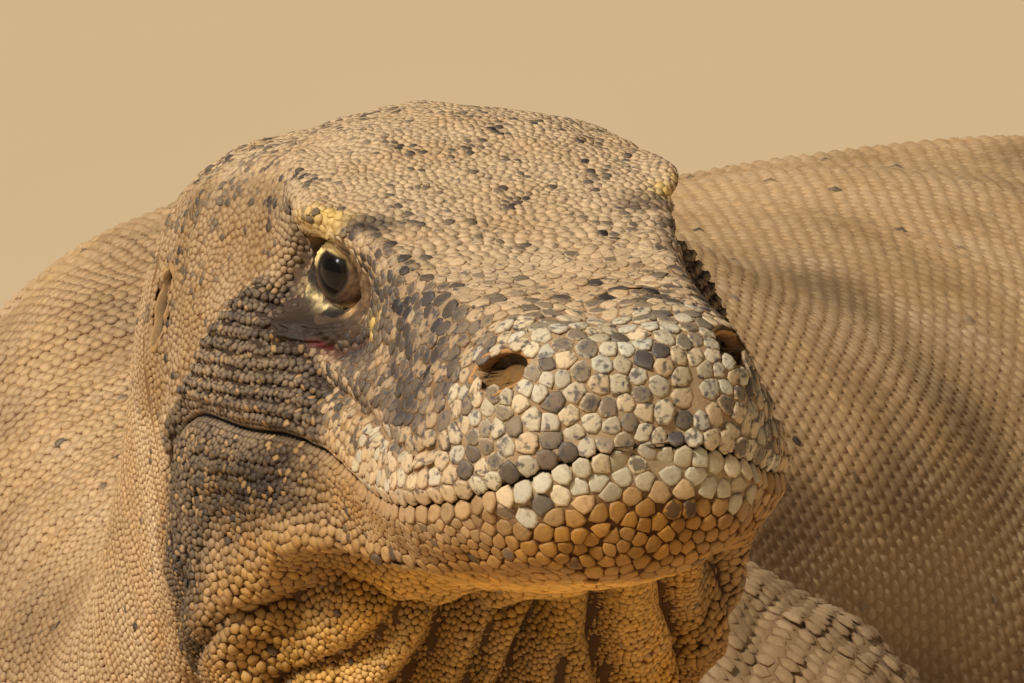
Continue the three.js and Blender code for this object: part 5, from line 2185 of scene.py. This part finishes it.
class Nodes:
    """Adds nodes to a tree and joins them in one call."""

    def __init__(self, tree: bpy.types.NodeTree) -> None:
        """Keeps the tree."""
        self.tree = tree

    def fill(self, node: bpy.types.Node, values: dict) -> None:
        """Fills a node's inputs, by name or number, with values or with other nodes' outputs.

        Args:
            node: The node.
            values: Input to a value or an output socket.
        """
        for key, value in values.items():
            if isinstance(value, Socket):
                self.tree.links.new(value, node.inputs[key])
            else:
                node.inputs[key].default_value = value

    def add(self, kind: str, values: dict | None = None, **settings: object) -> bpy.types.Node:
        """Adds a node, sets its properties and fills its inputs.

        Args:
            kind: The node's type.
            values: As for fill.
            settings: Properties of the node.

        Returns:
            The node.
        """
        node = self.tree.nodes.new(kind)
        for name, value in settings.items():
            setattr(node, name, value)
        self.fill(node, values or {})
        return node

    def math(self, operation: str, *values: object) -> Socket:
        """A math node's result."""
        return self.add("ShaderNodeMath", dict(enumerate(values)), operation=operation).outputs[0]

    def mix(self, factor: object, first: object, second: object, blend: str = "MIX") -> Socket:
        """A colour mix's result; a colour may be given as three numbers."""
        first, second = ((*v, 1.0) if isinstance(v, tuple) else v for v in (first, second))
        values = {0: factor, 6: first, 7: second}
        return self.add("ShaderNodeMix", values, data_type="RGBA", blend_type=blend).outputs[2]

    def noise(self, where: object, scale: object, detail: float = 3.0) -> Socket:
        """Noise in 0..1 at a place."""
        return self.add("ShaderNodeTexNoise", {"Vector": where, "Scale": scale, "Detail": detail}).outputs[0]

    def spread(self, value: object, low: float, high: float, *to: float) -> Socket:
        """A number carried from low..high to another range, or to 0..1, and held there."""
        values = dict(enumerate((value, low, high, *(to or (0.0, 1.0)))))
        return self.add("ShaderNodeMapRange", values).outputs[0]

    def where(self) -> Socket:
        """The place in the object's own axes."""
        return self.add("ShaderNodeTexCoord").outputs["Object"]

    def bump(self, height: Socket, strength: float, distance: float) -> Socket:
        """A normal tilted by a height."""
        values = {"Height": height, "Strength": strength, "Distance": distance}
        return self.add("ShaderNodeBump", values).outputs[0]

    def attribute(self, name: str) -> bpy.types.bpy_prop_collection:
        """The outputs that read an attribute of the mesh."""
        return self.add("ShaderNodeAttribute", attribute_name=name).outputs


class Finish(Nodes):
    """A new material: the nodes of its principled shader."""

    def __init__(self, name: str) -> None:
        """Makes the material.

        Args:
            name: Its name.
        """
        self.material = bpy.data.materials.new(name)
        self.material.use_nodes = True
        super().__init__(self.material.node_tree)

    def shade(self, values: dict) -> Material:
        """Fills the shader's inputs and gives the material."""
        self.fill(self.tree.nodes["Principled BSDF"], values)
        return self.material


@dataclass(frozen=True)
class HideFinish:
    """How a part of the hide takes light: grain, dust, roughness and the strength of its fine relief."""

    name: str
    grain: float = 900.0
    dust: float = 0.35
    rough: float = 0.62
    bump: float = 0.35


class Finishes:
    """Every material of the model, built once."""

    def __init__(self) -> None:
        """Makes the shared group and the materials."""
        self.grain = self.grain_group()
        self.scales = self.hide(HideFinish("scales"))
        self.coarse_scales = self.hide(HideFinish("coarse_scales", grain=420.0, dust=0.5, rough=0.68))
        self.skin = self.hide(HideFinish("skin", grain=1400.0, dust=0.1, rough=0.8, bump=0.2))
        self.lid = self.hide(HideFinish("lid", grain=1600.0, dust=0.1, rough=0.72, bump=0.5))
        self.eye = self.eye_finish()
        self.drum = self.hide(HideFinish("eardrum", grain=700.0, dust=0.1, rough=0.45, bump=0.15))
        self.claw = self.claw_finish()

    @staticmethod
    def grain_group() -> bpy.types.NodeTree:
        """The hide's fine look: mottled tint, dust on the tops, dirt and painted shade in the seams, and a
        fine grain.

        Returns:
            The group, giving a colour, a roughness and a height.
        """
        tree = bpy.data.node_groups.new("hide_grain", "ShaderNodeTree")
        sockets = (
            ("INPUT", "Color", ("Tint", "Core")),
            ("INPUT", "Float", ("Specks", "Mark", "Grain", "Dust", "Rough")),
            ("OUTPUT", "Color", ("Color",)),
            ("OUTPUT", "Float", ("Roughness", "Height")),
        )
        for way, kind, names in sockets:
            for name in names:
                tree.interface.new_socket(name, in_out=way, socket_type=f"NodeSocket{kind}")
        nodes = Nodes(tree)
        given = nodes.add("NodeGroupInput").outputs
        where = nodes.where()
        fine = nodes.noise(where, given["Grain"], 4.0)
        broad = nodes.noise(where, 38.0, 4.0)
        blotch = nodes.noise(where, 620.0)
        # The middle's colour ends at a ragged edge short of the rim.
        ragged = nodes.math("MULTIPLY", nodes.math("SUBTRACT", blotch, 0.5), 1.5)
        ragged = nodes.math("ADD", given["Mark"], ragged)
        whole = nodes.mix(nodes.spread(ragged, 0.84, 0.60), given["Tint"], given["Core"])
        # Fine dark specks, more where the specks' share is high.
        dots = nodes.math("ADD", blotch, nodes.math("MULTIPLY", given["Specks"], 0.14))
        dots = nodes.spread(dots, 0.60, 0.74, 0.0, 0.85)
        dots = nodes.math("MULTIPLY", dots, nodes.spread(given["Specks"], 0.0, 0.3))
        specked = nodes.mix(dots, whole, (0.055, 0.050, 0.058))
        values = {0: specked, "Scale": nodes.spread(fine, 0.3, 0.7, 0.86, 1.12)}
        mottled = nodes.add("ShaderNodeVectorMath", values, operation="SCALE").outputs[0]
        patches = nodes.spread(blotch, 0.66, 0.5, 0.3, 1.0)
        patches = nodes.math("MULTIPLY", nodes.spread(broad, 0.42, 0.66), patches)
        cover = nodes.math("MULTIPLY", patches, nodes.spread(given["Mark"], 1.0, 0.6))
        dusty = nodes.mix(nodes.math("MULTIPLY", cover, given["Dust"]), mottled, (0.60, 0.42, 0.25))
        # The seam between scales is darkened warm brown: dirt, with painted shade where little light reaches.
        seam_dirt_and_shade = nodes.mix(nodes.spread(given["Mark"], 0.82, 1.0), dusty, (0.46, 0.33, 0.22), "MULTIPLY")
        rough = nodes.math("ADD", given["Rough"], nodes.spread(fine, 0.3, 0.7, -0.12, 0.12))
        rough = nodes.math("ADD", rough, nodes.math("MULTIPLY", cover, 0.15))
        nodes.add("NodeGroupOutput", {"Color": seam_dirt_and_shade, "Roughness": rough, "Height": fine})
        return tree

    def hide(self, look: HideFinish) -> Material:
        """A hide material over the shared grain.

        Args:
            look: Its numbers.

        Returns:
            The material.
        """
        finish = Finish(look.name)
        tint = finish.attribute("tint")
        values = {"Tint": tint["Color"], "Core": finish.attribute("core")["Color"], "Specks": tint["Alpha"]}
        values |= {"Mark": finish.attribute("mark")["Fac"], "Grain": look.grain}
        values |= {"Dust": look.dust, "Rough": look.rough}
        grain = finish.add("ShaderNodeGroup", values, node_tree=self.grain).outputs
        surface = {"Base Color": grain["Color"], "Roughness": grain["Roughness"], "Specular IOR Level": 0.4}
        return finish.shade({**surface, "Normal": finish.bump(grain["Height"], look.bump, 0.0003)})

    @staticmethod
    def eye_finish() -> Material:
        """The eye: a black pupil in a dark brown iris with a paler ring, under a clear wet coat.

        Returns:
            The material.
        """
        finish = Finish("eye_finish")
        mark = finish.attribute("mark")["Fac"]
        fleck = finish.spread(finish.noise(finish.where(), 900.0), 0.35, 0.65)
        iris = finish.mix(fleck, (0.008, 0.005, 0.004), (0.02, 0.011, 0.006))
        inner = finish.mix(finish.spread(mark, 0.125, 0.14), (0.004, 0.003, 0.003), iris)
        outer = finish.mix(finish.spread(mark, 0.27, 0.33), inner, (0.012, 0.008, 0.006))
        surface = {"Base Color": outer, "Roughness": 0.3, "IOR": 1.15}
        return finish.shade({**surface, "Coat Weight": 0.5, "Coat Roughness": 0.03})

    @staticmethod
    def claw_finish() -> Material:
        """The claws: dark horn with streaks along them and a worn, paler tip.

        Returns:
            The material.
        """
        finish = Finish("claw_finish")
        streak = finish.noise(finish.where(), 320.0, 5.0)
        horn = finish.mix(finish.spread(streak, 0.35, 0.65), (0.022, 0.016, 0.012), (0.085, 0.06, 0.042))
        share = finish.spread(finish.attribute("mark")["Fac"], 0.45, 1.0, 0.0, 0.75)
        surface = {"Base Color": finish.mix(share, horn, (0.24, 0.19, 0.13))}
        surface["Roughness"] = finish.spread(streak, 0.3, 0.7, 0.28, 0.5)
        return finish.shade({**surface, "Normal": finish.bump(streak, 0.3, 0.0004)})


# ---- Studio ----


@dataclass
class Studio:
    """The pale floor, the soft light and the camera."""

    azimuth: float = 25.5  # degrees the camera stands to the animal's left of straight ahead
    elevation: float = 11.0
    roll: float = 2.0
    distance: float = 3.3
    lens: float = 535.0
    aim_right: float = -0.026  # metres from the snout's tip to the picture's middle
    aim_up: float = -0.0092

    @staticmethod
    def stand(thing: bpy.types.Object, *axes_and_place: Array) -> None:
        """Puts an object into the scene with its x, y and z axes along three directions, at a place."""
        thing.matrix_world = Matrix([*np.stack(axes_and_place, axis=1).tolist(), [0, 0, 0, 1]])
        link(thing)

    def camera(self, snout: Array) -> None:
        """Places the camera.

        Args:
            snout: The snout's tip in metres.
        """
        a, e, roll = (math.radians(v) for v in (self.azimuth, self.elevation, self.roll))
        toward = np.array([math.sin(a) * math.cos(e), -math.cos(a) * math.cos(e), math.sin(e)])
        level = np.array([math.cos(a), math.sin(a), 0.0])
        upright = np.cross(toward, level)
        right = level * math.cos(roll) - upright * math.sin(roll)
        up = level * math.sin(roll) + upright * math.cos(roll)
        place = snout + right * self.aim_right + up * self.aim_up + toward * self.distance
        data = bpy.data.cameras.new("camera")
        data.lens = self.lens
        data.sensor_width = 36.0
        camera = bpy.data.objects.new("camera", data)
        self.stand(camera, right, up, toward, place)
        bpy.context.scene.camera = camera

    def floor(self) -> None:
        """A wide pale floor at height zero."""
        half = 30.0
        mesh = bpy.data.meshes.new("floor")
        corners = [(-half, -half, 0), (half, -half, 0), (half, half, 0), (-half, half, 0)]
        mesh.from_pydata(corners, [], [(0, 1, 2, 3)])
        finish = Finish("floor")
        pale = finish.mix(finish.noise(finish.where(), 3.0), (0.62, 0.46, 0.28), (0.67, 0.50, 0.31))
        mesh.materials.append(finish.shade({"Base Color": pale, "Roughness": 0.9}))
        link(bpy.data.objects.new("floor", mesh))

    @staticmethod
    def light(name: str, kind: str, power: float, colour: tuple) -> tuple:
        """A light and its settings.

        Args:
            name: Its name.
            kind: Blender's name for its kind.
            power: In watts, or watts on a square metre.
            colour: Its colour.

        Returns:
            (object, settings).
        """
        data = bpy.data.lights.new(name, kind)
        data.energy = power
        data.color = colour
        return bpy.data.objects.new(name, data), data

    def lamp(self, name: str, place: tuple, aim: Array, size: float, power: float, colour: tuple) -> None:
        """A square area light that looks at a point.

        Args:
            name: Its name.
            place: Where it is.
            aim: What it looks at.
            size: Its side.
            power: In watts.
            colour: Its colour.
        """
        lamp, data = self.light(name, "AREA", power, colour)
        data.size = size
        back = unit(np.array(place) - aim)
        right = unit(np.cross(UP, back))
        self.stand(lamp, right, np.cross(back, right), back, np.array(place))

    def sun(self, bearing: float, height: float, wide: float, power: float, colour: tuple) -> None:
        """A distant soft light.

        Args:
            bearing: Degrees to the animal's right of ahead.
            height: Degrees above the floor.
            wide: Degrees it is wide.
            power: Watts on a square metre.
            colour: Its colour.
        """
        lamp, data = self.light("key", "SUN", power, colour)
        data.angle = math.radians(wide)
        lamp.rotation_euler = (math.radians(90 - height), 0.0, math.radians(-bearing))
        link(lamp)

    def build(self, snout: Array) -> None:
        """Sets the whole studio.

        Args:
            snout: The snout's tip in metres.
        """
        world = bpy.data.worlds.new("world")
        world.use_nodes = True
        background = {"Color": (1.0, 0.86, 0.66, 1.0), "Strength": 0.13}
        Nodes(world.node_tree).fill(world.node_tree.nodes["Background"], background)
        bpy.context.scene.world = world
        bpy.context.scene.view_settings.view_transform = "Standard"
        self.floor()
        self.sun(20.0, 49.0, 8.0, 3.65, (1.0, 0.945, 0.84))
        self.lamp("front", (-1.01, -2.12, 1.34), snout, 0.3, 6.0, (0.92, 0.96, 1.0))
        self.lamp("fill", (3.2, -1.6, 1.6), snout, 2.5, 4.0, (0.95, 0.95, 1.0))
        self.camera(snout)


def main() -> None:
    logging.basicConfig(level=logging.INFO, format="%(message)s")
    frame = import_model()
    LOG.info("frame: %d nodes", len(frame["nodes"]))
    plan = HeadFrame.standard()
    eyes = [np.mean(np.array(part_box(f"eye_{side}")) / MM, axis=0) for side in ("left", "right")]
    shift = np.mean(eyes, axis=0) - plan.out(np.array([EYE, (EYE[0], -EYE[1], EYE[2])])).mean(0)
    plan.origin = plan.origin + shift
    hide = Hide()
    finishes = Finishes()
    body = Body(plan, shift)
    legs = ((FORELEG, "hand"), (HINDLEG, "foot"))
    limbs = [Limb(shape, side, shift, body, kind) for shape, kind in legs for side in Side]
    Skin(body, limbs, hide).build(finishes.skin)
    for side in Side:
        HeadParts(body, hide, side).build(finishes)
    for limb in limbs:
        claws = make_object(f"claws_{limb.name}", claw_patch(limb), finishes.claw)
        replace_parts(claws, *(f"claw_{limb.name}_{k}" for k in range(1, 6)))
    scatter = Scatter(body, hide)
    coat = Coat(hide, 7)
    head = scatter.head()
    front = head.site.head[:, 0] > COARSE_FROM
    coat.pieces("scales_snout", head.pick(front), PEBBLE, finishes.scales)
    coat.pieces("scales_head", head.pick(~front), TILE, finishes.scales)
    ends = [*(start for _, start, *_ in STRETCHES[1:]), body.ring_at[-1] - body.neck_start - 2]
    for k, ((name, start, pitch, wander, shape), end) in enumerate(zip(STRETCHES, ends)):
        seeds = scatter.rings(start, end, pitch, wander, 201 + k)
        finish = finishes.coarse_scales if shape is SHIELD else finishes.scales
        coat.pieces(f"scales_{name}", seeds, shape, finish)
    for k, limb in enumerate(limbs):
        coat.pieces(f"scales_{limb.name}", scatter.limb(limb, 300 + 20 * k), SHIELD, finishes.coarse_scales)
    Studio().build(plan.origin * MM)


if __name__ == "__main__":
    main()
